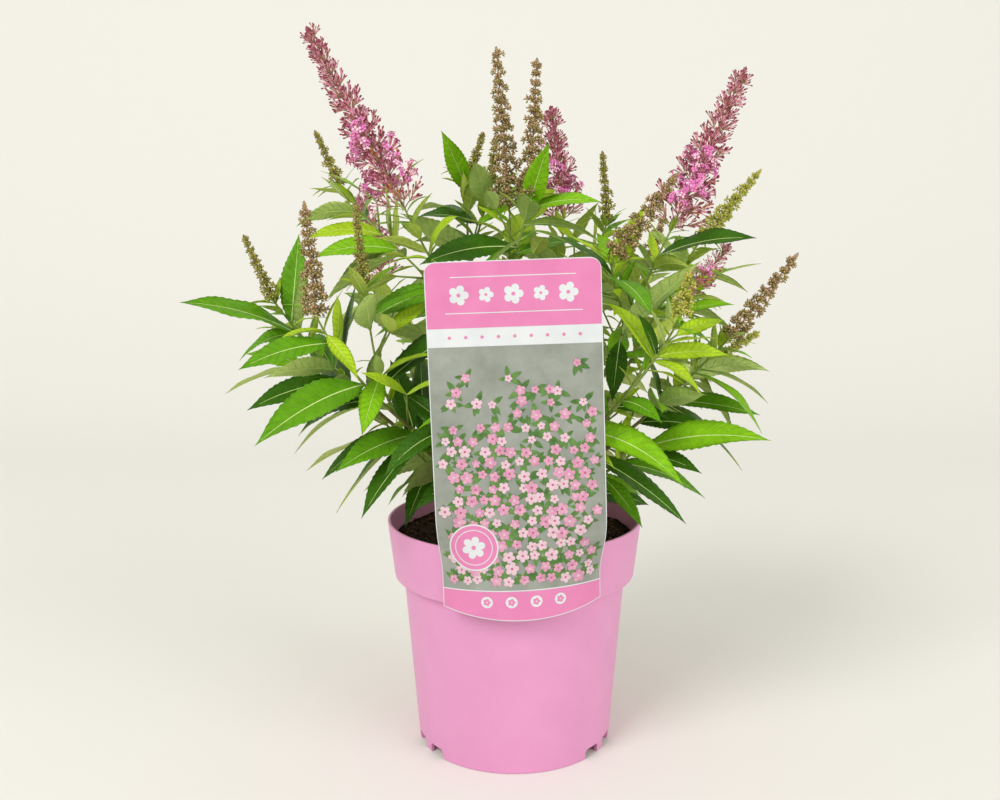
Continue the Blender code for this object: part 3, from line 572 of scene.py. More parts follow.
class Space:
    """What has been placed so far, so that a new piece can be tested against it."""

    def __init__(self):
        self.held = []

    @staticmethod
    def tree(solid):
        low = Vector([min(p[k] for p in solid.points) for k in range(3)])
        high = Vector([max(p[k] for p in solid.points) for k in range(3)])
        return low, high, BVHTree.FromPolygons(solid.points, solid.faces)

    def add(self, solid, owner):
        self.held.append((*self.tree(solid), owner))

    def crossed(self, solid, mass=None):
        low, high, tree = self.tree(solid)
        for other_low, other_high, other, owner in self.held:
            if owner == mass or any(low[k] > other_high[k] or high[k] < other_low[k] for k in range(3)):
                continue
            if tree.overlap(other):
                return True
        return False

    def crossed_own(self, solid, mass):
        tree = self.tree(solid)[2]
        return any(owner == mass and tree.overlap(other) for _, _, other, owner in self.held)


def leaf_fits(leaf, mass, space, small=False):
    """True if the leaf's place is free, which it then takes."""
    full = leaf.solid(grow=0.0004, small=small)
    free_part = leaf.solid(grow=0.0004, start=0.15, small=small)
    if min(point.z for point in full.points) < SOIL_TOP + 0.002:
        return False
    if space.crossed(full, mass) or space.crossed_own(free_part, mass):
        return False
    space.add(full, mass)
    return True


class Heap:
    """Faces of one kind gathered for joined meshes, each with a tone and its points with a place."""

    LIMIT = 170000

    def __init__(self):
        self.chunks = []
        self.start_chunk()

    def start_chunk(self):
        self.points, self.faces, self.tones, self.places = [], [], [], []
        self.triangles = 0
        self.chunks.append((self.points, self.faces, self.tones, self.places))

    def add(self, points, faces, tone, places=None):
        if self.triangles > self.LIMIT:
            self.start_chunk()
        start = len(self.points)
        self.points += [tuple(point) for point in points]
        self.faces += [tuple(start + i for i in face) for face in faces]
        self.tones += tone if isinstance(tone, list) else [tone] * len(faces)
        self.places += places or [(0.5, 0.5)] * len(points)
        self.triangles += sum(len(face) - 2 for face in faces)

    def add_solid(self, solid, tone):
        self.add(solid.points, solid.faces, tone)

    def made(self, name, surfaces, smooth=True):
        """The joined meshes, named in turn."""
        return [
            mesh_from(f"{name}_{i + 1}" if i else name, chunk, surfaces, smooth)
            for i, chunk in enumerate(self.chunks)
        ]


def placed(name, data):
    """An object with this mesh, camera or light, put into the scene."""
    made = bpy.data.objects.new(name, data)
    bpy.context.scene.collection.objects.link(made)
    return made


def mesh_from(name, chunk, surfaces, smooth):
    points, faces, tones, places = chunk
    mesh = bpy.data.meshes.new(name)
    mesh.from_pydata(points, [], faces)
    for surface in surfaces:
        mesh.materials.append(surface)
    mesh.polygons.foreach_set("material_index", tones)
    mesh.polygons.foreach_set("use_smooth", [smooth] * len(faces))
    layer = mesh.uv_layers.new(name="place")
    corners = [0] * len(mesh.loops)
    mesh.loops.foreach_get("vertex_index", corners)
    layer.data.foreach_set("uv", [value for i in corners for value in places[i]])
    mesh.validate()
    made = placed(name, mesh)
    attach(made, "root")
    return made


class Nodes:
    """A short way to write a material's node tree."""

    def __init__(self, name, roughness, specular=0.5):
        self.surface = bpy.data.materials.new(name)
        self.surface.use_nodes = True
        self.tree = self.surface.node_tree
        self.shader = self.tree.nodes["Principled BSDF"]
        self.shader.inputs["Roughness"].default_value = roughness
        self.shader.inputs["Specular IOR Level"].default_value = specular

    def node(self, kind, **settings):
        made = self.tree.nodes.new(kind)
        for key, value in settings.items():
            setattr(made, key, value)
        return made

    def link(self, source, target):
        self.tree.links.new(source, target)

    def math(self, operation, first, second=None, clamp=False):
        made = self.node("ShaderNodeMath", operation=operation, use_clamp=clamp)
        for socket, value in zip(made.inputs, (first, second)):
            if value is None:
                continue
            if isinstance(value, (int, float)):
                socket.default_value = value
            else:
                self.link(value, socket)
        return made.outputs[0]

    def noise(self, scale, detail=3.0, roughness=0.5, stretch=None):
        place = self.node("ShaderNodeTexCoord").outputs["Object"]
        if stretch:
            mapping = self.node("ShaderNodeMapping")
            mapping.inputs["Scale"].default_value = stretch
            self.link(place, mapping.inputs["Vector"])
            place = mapping.outputs[0]
        made = self.node("ShaderNodeTexNoise")
        made.inputs["Scale"].default_value = scale
        made.inputs["Detail"].default_value = detail
        made.inputs["Roughness"].default_value = roughness
        self.link(place, made.inputs["Vector"])
        return made.outputs["Fac"]

    def ramp(self, value, stops):
        made = self.node("ShaderNodeValToRGB")
        for i, (place, color) in enumerate(stops):
            stop = made.color_ramp.elements[i] if i < 2 else made.color_ramp.elements.new(place)
            stop.position = place
            stop.color = (*color, 1)
        self.link(value, made.inputs[0])
        return made.outputs[0]

    def mix(self, factor, first, second):
        made = self.node("ShaderNodeMix", data_type="RGBA")
        for socket, value in ((made.inputs[0], factor), (made.inputs[6], first), (made.inputs[7], second)):
            if isinstance(value, tuple):
                socket.default_value = (*value, 1)
            elif isinstance(value, (int, float)):
                socket.default_value = value
            else:
                self.link(value, socket)
        return made.outputs[2]

    def bump(self, height, distance, strength=1.0):
        made = self.node("ShaderNodeBump")
        made.inputs["Strength"].default_value = strength
        made.inputs["Distance"].default_value = distance
        self.link(height, made.inputs["Height"])
        self.link(made.outputs[0], self.shader.inputs["Normal"])

    def color(self, source):
        if isinstance(source, tuple):
            self.shader.inputs["Base Color"].default_value = (*source, 1)
        else:
            self.link(source, self.shader.inputs["Base Color"])


def shade(color, factor):
    return tuple(min(1, value * factor) for value in color)


def leaf_surface(name, color, vein, roughness=0.42, relief=0.00045, specular=0.14, contrast=0.27):
    """A leaf's skin: side veins that sweep to the margin, a midrib, and puckers between them."""
    make = Nodes(name, roughness, specular)
    place = make.node("ShaderNodeSeparateXYZ")
    make.link(make.node("ShaderNodeUVMap", uv_map="place").outputs[0], place.inputs[0])
    length, across = place.outputs[0], place.outputs[1]
    side = make.math("ABSOLUTE", make.math("SUBTRACT", make.math("MULTIPLY", across, 2), 1))
    sweep = make.math("SUBTRACT", make.math("MULTIPLY", length, 11.0), make.math("MULTIPLY", side, 1.3))
    near = make.math("ABSOLUTE", make.math("SUBTRACT", make.math("FRACT", sweep), 0.5))
    veins = make.math("MULTIPLY", make.math("SUBTRACT", near, 0.42), 12.0, clamp=True)
    midrib = make.math("SUBTRACT", 0.85, make.math("MULTIPLY", side, 15.0), clamp=True)
    lines = make.math("MAXIMUM", make.math("MULTIPLY", veins, 0.80), midrib)
    patches = make.math("MULTIPLY", make.noise(55.0, 3.0), 0.55)
    mottle = make.math("ADD", patches, make.math("MULTIPLY", make.noise(330.0, 3.0), 0.45))
    ground = make.mix(mottle, shade(color, 0.48), shade(color, 1.52))
    make.color(make.mix(make.math("MULTIPLY", lines, contrast), ground, vein))
    puckers = make.node("ShaderNodeTexVoronoi")
    puckers.inputs["Scale"].default_value = 420.0
    make.link(make.node("ShaderNodeTexCoord").outputs["Object"], puckers.inputs["Vector"])
    height = make.math("SUBTRACT", make.math("MULTIPLY", puckers.outputs["Distance"], -0.5), lines)
    make.bump(height, relief)
    return make.surface


def speckled(name, dark, light, roughness, scale, relief=0.0, stretch=None, specular=0.2):
    """A surface that varies between two colours, with the same noise as its relief."""
    make = Nodes(name, roughness, specular)
    grain = make.noise(scale, 5.0, 0.6, stretch)
    make.color(make.ramp(grain, ((0.32, dark), (0.68, light))))
    if relief:
        make.bump(grain, relief)
    return make.surface


# Leaf surfaces in the order of their tones: name, ground, veins, roughness, and for the backs also
# relief, gloss and contrast.
LEAF_SURFACES = (
    ("leaf_deep", (0.038, 0.122, 0.004), (0.120, 0.260, 0.025), 0.40),
    ("leaf_green", (0.110, 0.300, 0.006), (0.230, 0.450, 0.045), 0.42),
    ("leaf_bright", (0.200, 0.450, 0.008), (0.350, 0.590, 0.060), 0.44),
    ("leaf_young", (0.390, 0.580, 0.020), (0.490, 0.660, 0.090), 0.46),
    ("leaf_back", (0.540, 0.750, 0.200), (0.660, 0.820, 0.330), 0.62, 0.0006, 0.12, 0.8),
    ("leaf_back_young", (0.580, 0.760, 0.130), (0.680, 0.820, 0.240), 0.62, 0.0005, 0.12, 0.8),
)
# The others, in the same order: name, dark and light, roughness, scale of the grain, relief and stretch.
SPECKLED_SURFACES = {
    "stem": (
        ("stem_green", (0.170, 0.250, 0.040), (0.290, 0.370, 0.090), 0.60, 260, 0.0002),
        ("stem_olive", (0.160, 0.150, 0.050), (0.300, 0.270, 0.100), 0.65, 260, 0.0002),
        ("stem_bark", (0.110, 0.070, 0.035), (0.310, 0.220, 0.120), 0.85, 300, 0.0008, (1, 1, 0.18)),
        ("stem_tan", (0.260, 0.145, 0.080), (0.500, 0.330, 0.190), 0.65, 400),
    ),
    "bloom": (
        ("petal_bright", (0.660, 0.130, 0.420), (0.850, 0.290, 0.580), 0.55, 500),
        ("petal_pale", (0.800, 0.400, 0.560), (0.960, 0.620, 0.740), 0.55, 500),
        ("tube_mauve", (0.620, 0.200, 0.300), (0.940, 0.470, 0.560), 0.60, 350),
        ("calyx_tan", (0.420, 0.210, 0.130), (0.700, 0.450, 0.320), 0.65, 500),
        ("tip_maroon", (0.160, 0.030, 0.045), (0.440, 0.100, 0.150), 0.60, 300),
        ("calyx_rust", (0.420, 0.130, 0.035), (0.680, 0.290, 0.090), 0.65, 300),
    ),
    "bud": (
        ("bud_dark", (0.080, 0.048, 0.022), (0.250, 0.150, 0.080), 0.70, 500),
        ("bud_olive", (0.210, 0.205, 0.040), (0.420, 0.385, 0.100), 0.65, 500),
        ("bud_lime", (0.420, 0.450, 0.045), (0.700, 0.690, 0.150), 0.65, 500),
        ("bud_rose", (0.500, 0.300, 0.170), (0.740, 0.520, 0.330), 0.65, 500),
        ("bud_tan", (0.420, 0.270, 0.130), (0.720, 0.510, 0.290), 0.70, 500),
    ),
}


def make_surfaces():
    surfaces = {"leaf": [leaf_surface(*row) for row in LEAF_SURFACES]}
    for kind, rows in SPECKLED_SURFACES.items():
        surfaces[kind] = [speckled(*row) for row in rows]
    return surfaces


BLADE_FOLD = 0.24
BLADE_PEAK = 0.2103


def blade_half_width(leaf, share):
    """Half a blade's width: a short stalk, widest before the middle, and a drawn-out tip."""
    bulge = share**0.95 * (1 - share) ** 1.35 / BLADE_PEAK
    return leaf.length * leaf.width / 2 * max(0.05 * (1 - share), bulge)


def add_blade(heap, leaf, rng, tone, stations=32, columns=3):
    """A leaf in full: toothed margins, blade quilted between its veins, and its paler back."""
    back = YOUNG_BACK if tone == YOUNG_LEAF else LEAF_BACK
    shares = [i / stations for i in range(stations + 1)]
    frames = leaf.frames(shares, steps=2 * stations)
    twist = rng.uniform(-0.6, 0.6)
    wave = rng.uniform(0.02, 0.09)
    waves = rng.uniform(1.4, 2.6)
    phase = rng.uniform(0, 2 * math.pi)
    curl = rng.uniform(-0.05, 0.12)
    small = leaf.length < 0.03
    tooth = 0 if small else 0.045
    points, places = [], []
    for layer in (0, 1):
        for i, (point, face, side) in enumerate(frames):
            share = shares[i]
            turn = twist * share * share
            face_here = turned(face, side, turn)
            side_here = turned(side, -face, turn)
            half = max(0.00006, blade_half_width(leaf, share))
            edge = tooth * (1 if i % 2 else -1) * (0.08 < share < 0.96)
            for c in range(-columns, columns + 1):
                q = c / columns
                reach = half * (1 + edge) if abs(c) == columns else half
                quilt = 0.5 - 0.5 * math.cos(2 * math.pi * (share * 9.0 - abs(q) * 1.1))
                lift = abs(q) * BLADE_FOLD * half
                lift += quilt * 0.050 * half * math.sin(math.pi * abs(q) ** 0.8)
                lift += wave * half * q * q * math.sin(waves * 2 * math.pi * share + phase + (q > 0))
                lift -= curl * half * q * q
                if layer:
                    lift -= 0.00022 * (1 - 0.7 * abs(q)) + 0.00004
                points.append(point + side_here * (reach * q) + face_here * lift)
                places.append((share, 0.5 + 0.5 * q))
    wide = 2 * columns + 1
    count = wide * (stations + 1)
    faces, tones = [], []
    for i in range(stations):
        for c in range(wide - 1):
            a, b = i * wide + c, i * wide + c + 1
            faces.append((a, b, b + wide, a + wide))
            tones.append(tone)
            faces.append((count + a, count + a + wide, count + b + wide, count + b))
            tones.append(back)
        for a in (i * wide, i * wide + wide - 1):
            faces.append((a, a + wide, count + a + wide, count + a))
            tones.append(tone)
    heap.add(points, faces, tones, places)
    if not small:
        rib_stations = range(0, stations - 1, 3)
        rib = [frames[i][0] - frames[i][1] * 0.0002 for i in rib_stations]
        thick = leaf.length * 0.0080
        radii = [thick * (1 - 0.8 * shares[i]) + 0.0001 for i in rib_stations]
        heap.add_solid(tube(rib, radii, 5), back)


# The full size of a flower bud, a round bud and an open flower, and the turn from one bud to the next.
BLOOM_LENGTH = 0.0088
BLOOM_RADIUS = 0.00056
BUD_LENGTH = 0.0030
BUD_RADIUS = 0.00078
FLORET_LENGTH = 0.0082
PETAL_LENGTH = 0.0027
BUD_TURN = 2.4
HEAD_DEPTH = 0.0046
PETAL_OUTLINE = (
    (0.18, -0.12, 0.0), (0.18, 0.12, 0.0), (0.50, 0.34, 0.12), (0.82, 0.32, 0.10),
    (1.0, 0.0, 0.0), (0.82, -0.32, 0.10), (0.50, -0.34, 0.12),
)
TUBE_BUD = ((0, 0.50), (0.16, 1.00), (0.24, 0.72), (0.70, 0.90), (0.88, 1.40), (0.97, 0.80))
POINTED_BUD = ((0, 0.45), (0.34, 1.00), (0.67, 0.78))


def ring_at(radius, height, turns):
    return [Vector((math.cos(a) * radius, math.sin(a) * radius, height)) for a in turns]


def bud_shape(length, radius, outline, sides):
    """A bud along +Z, turned from (share of its length, share of its radius), and its faces' parts.

    Part 0 is the calyx, part 1 the body and part 2 the tip.
    """
    turns = [2 * math.pi * k / sides for k in range(sides)]
    rings = [ring_at(width * radius, height * length, turns) for height, width in outline]
    rings.append([Vector((0, 0, length))])
    parts = []
    for height, _ in outline:
        parts += [0 if height < 0.2 else 1 if height < 0.65 else 2] * sides
    return loft(rings), parts + [0]


def floret_shape(length, petal):
    """An open flower along +Z: a slender tube, four rounded lobes, and a throat."""
    tube_end = length * 0.95
    turns = [2 * math.pi * k / 5 for k in range(5)]
    tube_rings = ((0, 0.00045), (tube_end * 0.6, 0.00050), (tube_end, 0.00085))
    stalk = loft([ring_at(radius, height, turns) for height, radius in tube_rings])
    points, faces = [], []
    for k in range(4):
        turn = Matrix.Rotation(math.pi / 2 * k, 3, "Z")
        for lower in (0, 1):
            start = len(points)
            base = Vector((0, 0, tube_end - 0.00014 * lower))
            points += [base + turn @ (Vector(corner) * petal) for corner in PETAL_OUTLINE]
            points.append(base + turn @ Vector((petal * 0.6, 0, 0)))
            for i in range(7):
                pair = (start + i, start + (i + 1) % 7)
                faces.append((*(pair[::-1] if lower else pair), start + 7))
    throat = ring_at(0.0005, tube_end + 0.0002, turns)
    return stalk, Solid(points, faces), Solid(throat, [tuple(range(5))])


def put(heap, solid, place, tone):
    heap.add([place @ point for point in solid.points], solid.faces, tone)


def put_bud(heap, shape, place, tones):
    """A bud with a tone each for its calyx, body and tip."""
    bud, parts = shape
    put(heap, bud, place, [tones[part] for part in parts])


def placing(point, way, spin, size=1.0):
    turn = way.to_track_quat("Z", "Y").to_matrix().to_4x4()
    return Matrix.Translation(point) @ turn @ Matrix.Rotation(spin, 4, "Z") @ Matrix.Scale(size, 4)


def leaning(way, tilt, spin):
    """A direction tilted from way by so many degrees, turned about it by spin."""
    side = square_to(Vector((0.3, 0.2, 1)), way)
    return turned(way, turned(side, way.cross(side), spin), math.radians(tilt))


def add_spike(shoot, heaps, shapes, rng):
    """A flower spike: at each node opposite cymes, each a branching head of buds and flowers."""
    kind = SPIKES[shoot.spike]
    base, way = shoot_end(shoot), spike_way(shoot)
    side = square_to(Vector((0.2, 1, 0)), way)
    other = way.cross(side)
    blooming = kind.open > 0
    stems, heap = heaps["stem"], heaps["bloom" if blooming else "bud"]
    axis = [base + way * (shoot.length - kind.bud_length * 0.9) * i / 6 for i in range(7)]
    radii = [STEM_RADIUS * 0.95 * (1 - 0.65 * i / 6) for i in range(7)]
    stems.add_solid(tube(axis, radii, 6), kind.stem)
    add_part = add_cyme if blooming else add_cluster
    up, node = 0.0015, 0
    while up < shoot.length - kind.high_gap * 0.95:
        share = up / shoot.length
        reach = kind.base_radius + (kind.tip_radius - kind.base_radius) * share**0.8
        reach *= 1 + (kind.flare - 1) * (shoot.length / FLARE_LENGTH) ** 2 * (1 - 0.7 * share)
        for k in range(4):
            chief = k % 2 == node % 2
            angle = math.pi / 2 * k + rng.uniform(-0.25, 0.25)
            out = turned(side, other, angle)
            centre = base + way * (up + rng.uniform(-0.12, 0.12) * kind.low_gap)
            full = reach * rng.uniform(0.90, 1.12) * (1.0 if chief else 0.80)
            add_part(centre, out, way, share, full, kind, stems, heap, shapes, rng)
        up += kind.low_gap + (kind.high_gap - kind.low_gap) * share
        node += 1
    count, spread, size, depth = (15, 34, 0.62, 0.6) if blooming else (22, 76, 0.84, 0.8)
    for n in range(count):
        far = (n + 0.5) / count
        aim = leaning(way, spread * far**0.7, BUD_TURN * n)
        point = base + way * (shoot.length - kind.bud_length * depth - HEAD_DEPTH * far)
        shape = shapes["bloom" if blooming else "bud"]
        put_bud(heap, shape, placing(point, aim, n, size), kind.tones)
    add_bracts(shoot, heaps["leaf"], side, other, rng)


def add_cyme(centre, out, way, share, full, kind, stems, heap, shapes, rng):
    """One cyme of a flowering spike: rays along a stalk, each with a close fan of buds or flowers."""
    lean = turned(way, out, math.radians(62 - 32 * share))
    size = 1 - 0.42 * share
    bud_length = kind.bud_length * size
    tip = centre + lean * max(0.0010, full - 0.62 * bud_length)
    stems.add_solid(tube([centre, tip], [0.00044, 0.00030], 3), kind.stem)
    flowering = 0.02 < share < 0.42 and rng.random() < kind.open * (1 - share)
    bare = share < 0.04
    rays = 5 if share < 0.5 else 4
    count = max(2, round(kind.buds * (1.05 - 0.40 * share) / rays))
    spin = rng.uniform(0, 2 * math.pi)
    for ray in range(rays):
        last = ray == rays - 1
        middle = centre.lerp(tip, 1.0 if last else 0.34 + 0.62 * ray / (rays - 1))
        aim = leaning((lean + way * 0.35).normalized(), 4 if last else 30, spin + BUD_TURN * ray)
        fork = middle + aim * bud_length * 0.34
        stems.add_solid(tube([middle, fork], [0.00028, 0.00024], 3), kind.stem)
        for n in range(count):
            bud_aim = leaning(aim, 26 * (n + 0.5) / count, BUD_TURN * n + rng.uniform(-0.3, 0.3))
            foot = middle.lerp(fork, rng.uniform(0.25, 1.05))
            foot += bud_aim * rng.uniform(0.0002, 0.0018) * size
            spin_here = rng.uniform(0, 2 * math.pi)
            if flowering and rng.random() < 0.72:
                scale = kind.bud_length / BLOOM_LENGTH * rng.uniform(0.85, 1.05)
                add_floret(placing(foot, bud_aim, spin_here, scale), heap, shapes, rng)
                continue
            scale = bud_length / BLOOM_LENGTH * rng.uniform(0.82, 1.12)
            tones = kind.tones
            if rng.random() < 0.10 + 0.22 * share:
                tones = (tones[0], tones[0], tones[2])
            elif rng.random() < 0.16:
                tones = (tones[0], PALE_PETAL, TUBE)
            elif share < 0.3 and rng.random() < 0.10:
                tones = (RUST, RUST, RUST)
            if bare and rng.random() < 0.6:
                scale *= 0.4
                tones = (tones[0], tones[0], tones[0])
            put_bud(heap, shapes["bloom"], placing(foot, bud_aim, spin_here, scale), tones)


def add_floret(place, heap, shapes, rng):
    """An open flower on its tube."""
    stalk_shape, petals, throat = shapes["floret"]
    put(heap, stalk_shape, place, TUBE)
    put(heap, petals, place, PETAL if rng.random() < 0.65 else PALE_PETAL)
    put(heap, throat, place, TIP)


def add_cluster(centre, out, way, share, full, kind, stems, heap, shapes, rng):
    """One cyme of a spike in bud: a stubby stalk, forked where it is wide, with round heads of buds."""
    lean = turned(way, out, math.radians(66 - 30 * share))
    bud_length = kind.bud_length * (1 - 0.30 * share)
    middle = centre + lean * max(0.0006, full - 1.35 * bud_length)
    stems.add_solid(tube([centre, middle], [0.00050, 0.00034], 3), kind.stem)
    count = max(6, round(kind.buds * (1.05 - 0.40 * share)))
    forks = 3 if full > 0.0085 else 2 if full > 0.0065 else 1
    spin = rng.uniform(0, 2 * math.pi)
    each = math.ceil(count / forks)
    for fork in range(forks):
        head = middle
        if forks > 1:
            apart = leaning(lean, 58, spin + 2 * math.pi * fork / forks)
            head = middle.lerp(centre, 0.40 * fork / forks) + apart * bud_length * 0.85
            branch = [middle.lerp(centre, 0.50 * fork / forks), head]
            stems.add_solid(tube(branch, [0.00030, 0.00024], 3), kind.stem)
        for n in range(each):
            far = (n + 0.5) / each
            spin_here = BUD_TURN * n + rng.uniform(-0.3, 0.3)
            aim = leaning((lean + way * 0.15).normalized(), 112 * far**0.8, spin_here)
            foot = head + aim * bud_length * rng.uniform(0.0, 0.55) - lean * bud_length * 0.3 * far
            scale = bud_length / BUD_LENGTH * rng.uniform(0.80, 1.15)
            tones = kind.tones
            if rng.random() < 0.25:
                tones = (tones[0], tones[0], tones[2])
            elif rng.random() < 0.15:
                tones = (tones[1], BUD_ROSE, tones[1])
            put_bud(heap, shapes["bud"], placing(foot, aim, BUD_TURN * n, scale), tones)


def add_bracts(shoot, heap, side, other, rng):
    """The narrow curling bracts under the lowest cymes."""
    base, way = shoot_end(shoot), spike_way(shoot)
    for k in range(4):
        angle = math.pi / 2 * k + rng.uniform(-0.3, 0.3)
        out = turned(side, other, angle)
        lean = out * 0.8 + way * rng.uniform(0.3, 0.9)
        length = rng.uniform(0.010, 0.026)
        point = base - way * 0.002 * (k // 2)
        leaf = Leaf(point, lean, way + UP * 0.3, length, rng.uniform(0.2, 1.8), rng.uniform(0.07, 0.20))
        add_blade(heap, leaf, rng, rng.choice((BRIGHT_LEAF, YOUNG_LEAF)), stations=10, columns=2)


YOUNG_LEAVES = 12
YOUNG_WIDTH = 0.26
TWIG_REACH = 0.0012
STEM_SIDES = 12
STEM_STEP = 0.004
JOINT_PLACE = 0.004
JOINT_REACH = 0.003


def grow(curves, space, heaps, shapes):
    """The bush: first the CAD model's own leaves and twigs, then more that fill its crown."""
    seeds = {mass: 11 + 7 * i for i, mass in enumerate(curves)}
    shoots = [(mass, k, *row) for mass, rows in curves.items() for k, row in enumerate(rows)]
    rng = random.Random(77)
    blades = heaps["leaf"]
    for mass, _, _, curve, share in shoots:
        main = share == 0
        begin = BOUGH_SHARE if main else 0
        count = 8 if main else 6
        shares = [begin + (1 - begin) * i / (count - 1) for i in range(count)]
        thick = bough_radius(BOUGH_SHARE) if main else STEM_RADIUS * 1.1
        radii = [thick + (STEM_RADIUS * 0.8 - thick) * s for s in shares]
        space.add(tube([curve.at(s) for s in shares], radii, 4), mass)
        add_stem(curve, main, heaps["stem"], rng)
    for mass, k, shoot, _, _ in shoots:
        if shoot.spike:
            space.add(spike_of(shoot, seeds[mass] + k), mass)
            add_spike(shoot, heaps, shapes, rng)
    tones = {mass: rng.choice((DEEP_LEAF, GREEN_LEAF, GREEN_LEAF, BRIGHT_LEAF)) for mass in curves}
    for mass, rows in LONG_LEAVES.items():
        for long in [Long(*row) for row in rows]:
            root = curves[mass][long.shoot][1].at(long.share)
            way = pointing(long.azimuth, long.rise)
            leaf = Leaf(root, way, to_front(long.turn), long.length, long.sag)
            if leaf_fits(leaf, mass, space):
                add_blade(blades, leaf, rng, long.tone)
    queues = {mass: [] for mass in curves}
    for mass, k, _, curve, share in shoots:
        first = 0.12 if share else BOUGH_SHARE + 0.02
        queues[mass] += leaves_of(curve, first, seeds[mass] + 31 * k)
    while any(queues.values()):
        for mass, queue in queues.items():
            if queue:
                leaf = queue.pop(0)
                if leaf_fits(leaf, mass, space):
                    add_blade(blades, leaf, rng, leaf_tone(leaf, tones[mass], rng))
    for mass, k, _, curve, share in shoots:
        first = 0.15 if share else BOUGH_SHARE + 0.05
        for start, end, leaves in twigs_of(curve, first, seeds[mass] + 31 * k):
            add_twig(start, end, leaves, mass, space, heaps, rng)
    fill(shoots, seeds, space, blades, rng)


def leaf_tone(leaf, tone, rng):
    """Small leaves are younger and brighter, and low ones deeper."""
    if leaf.length < 0.055 and rng.random() < 0.6:
        return YOUNG_LEAF
    if leaf.root.z < 0.27 and rng.random() < 0.6:
        return DEEP_LEAF
    return max(DEEP_LEAF, min(YOUNG_LEAF, tone + rng.choice((-1, 0, 0, 0, 1))))


def add_twig(start, end, leaves, mass, space, heaps, rng):
    """A side twig with its leaves, where they are free."""
    probe = tube([start, end], [TWIG_REACH, TWIG_REACH], 3)
    free_part = tube([start.lerp(end, 0.25), end], [TWIG_REACH, TWIG_REACH], 3)
    if space.crossed(probe, mass) or space.crossed_own(free_part, mass):
        return
    kept = [leaf for leaf in leaves if leaf_fits(leaf, mass, space, small=True)]
    if kept:
        space.add(probe, mass)
        heaps["stem"].add_solid(tube([start, end], [TWIG_RADIUS, TWIG_RADIUS * 0.75], 6), STEM_GREEN)
        for leaf in kept:
            tone = rng.choice((BRIGHT_LEAF, YOUNG_LEAF, YOUNG_LEAF))
            add_blade(heaps["leaf"], leaf, rng, tone, stations=18, columns=3)


def fill(shoots, seeds, space, blades, rng):
    """Leaves between the main pairs, a collar of leaves under each spike, and young ones between."""
    for turn in (0, 1):
        for mass, k, _, curve, share in shoots:
            first = (0.15 if share else BOUGH_SHARE - 0.02) + 0.04 + 0.05 * turn
            for leaf in leaves_of(curve, first, seeds[mass] + 31 * k + 4000 + turn):
                leaf.length *= rng.uniform(0.55, 0.95)
                if leaf_fits(leaf, mass, space):
                    add_blade(blades, leaf, rng, leaf_tone(leaf, GREEN_LEAF, rng))
    for mass, _, shoot, curve, _ in shoots:
        if shoot.spike:
            add_neck(curve, mass, space, blades, rng)
    for mass, _, _, curve, share in shoots:
        first = 0.1 if share else BOUGH_SHARE + 0.02
        for n in range(YOUNG_LEAVES):
            place = first + (0.97 - first) * (n + rng.random()) / YOUNG_LEAVES
            point, along = curve.at(place), curve.along(place)
            out = square_to(around(rng.uniform(0, 360)) + UP * 0.4, along)
            lean = along * rng.uniform(0.5, 1.0) + out
            length = rng.uniform(0.014, 0.034)
            leaf = Leaf(point, lean, along + UP * 0.5, length, rng.uniform(0.1, 0.9), YOUNG_WIDTH)
            if leaf_fits(leaf, mass, space, small=True):
                tone = rng.choice((BRIGHT_LEAF, YOUNG_LEAF))
                add_blade(blades, leaf, rng, tone, stations=14, columns=2)


def add_neck(curve, mass, space, blades, rng):
    """Pairs of small young leaves that stand up round the foot of a spike."""
    for pair, share in enumerate((0.985, 0.94, 0.88)):
        point, along = curve.at(share), curve.along(share)
        side = square_to(around(rng.uniform(0, 360)), along)
        for half in (-1, 1):
            lean = along * rng.uniform(0.6, 1.1) + side * half
            length = rng.uniform(0.016, 0.026) + 0.006 * pair
            face = along * 0.6 + UP * 0.5
            leaf = Leaf(point, lean, face, length, rng.uniform(0.1, 0.9), YOUNG_WIDTH)
            if leaf_fits(leaf, mass, space, small=True):
                tone = rng.choice((YOUNG_LEAF, YOUNG_LEAF, BRIGHT_LEAF))
                add_blade(blades, leaf, rng, tone, stations=16, columns=2)


def add_stem(curve, main, heap, rng):
    """A shoot from the woody foot to its spike, faintly square in section and jointed at its leaves."""
    begin = -0.012 if main else -0.01
    length = curve.length()
    count = int(length / STEM_STEP)
    points, radii = [], []
    for i in range(count + 1):
        share = begin + (1 - begin) * i / count
        if share < 0:
            points.append(curve.at(0) + curve.along(0.02) * length * share)
        else:
            points.append(curve.at(share))
        if main:
            radius = bough_radius(max(0, share)) * (1 - 0.3 * share)
        else:
            radius = STEM_RADIUS * (1.05 - 0.35 * share)
        joint = max(0, 1 - abs((share * length) % NODE_SPACING - JOINT_PLACE) / JOINT_REACH)
        radii.append(radius * (1 + 0.14 * joint + rng.uniform(-0.03, 0.03)))
    solid = tube(points, radii, STEM_SIDES, 0.06)
    tones = []
    for face in solid.faces:
        share = min(face) / STEM_SIDES / count
        if main and share < 0.22 + 0.05 * math.sin(7 * min(face)):
            tones.append(STEM_BARK)
        elif main and share < 0.55:
            tones.append(STEM_OLIVE)
        else:
            tones.append(STEM_GREEN)
    heap.add_solid(solid, tones)


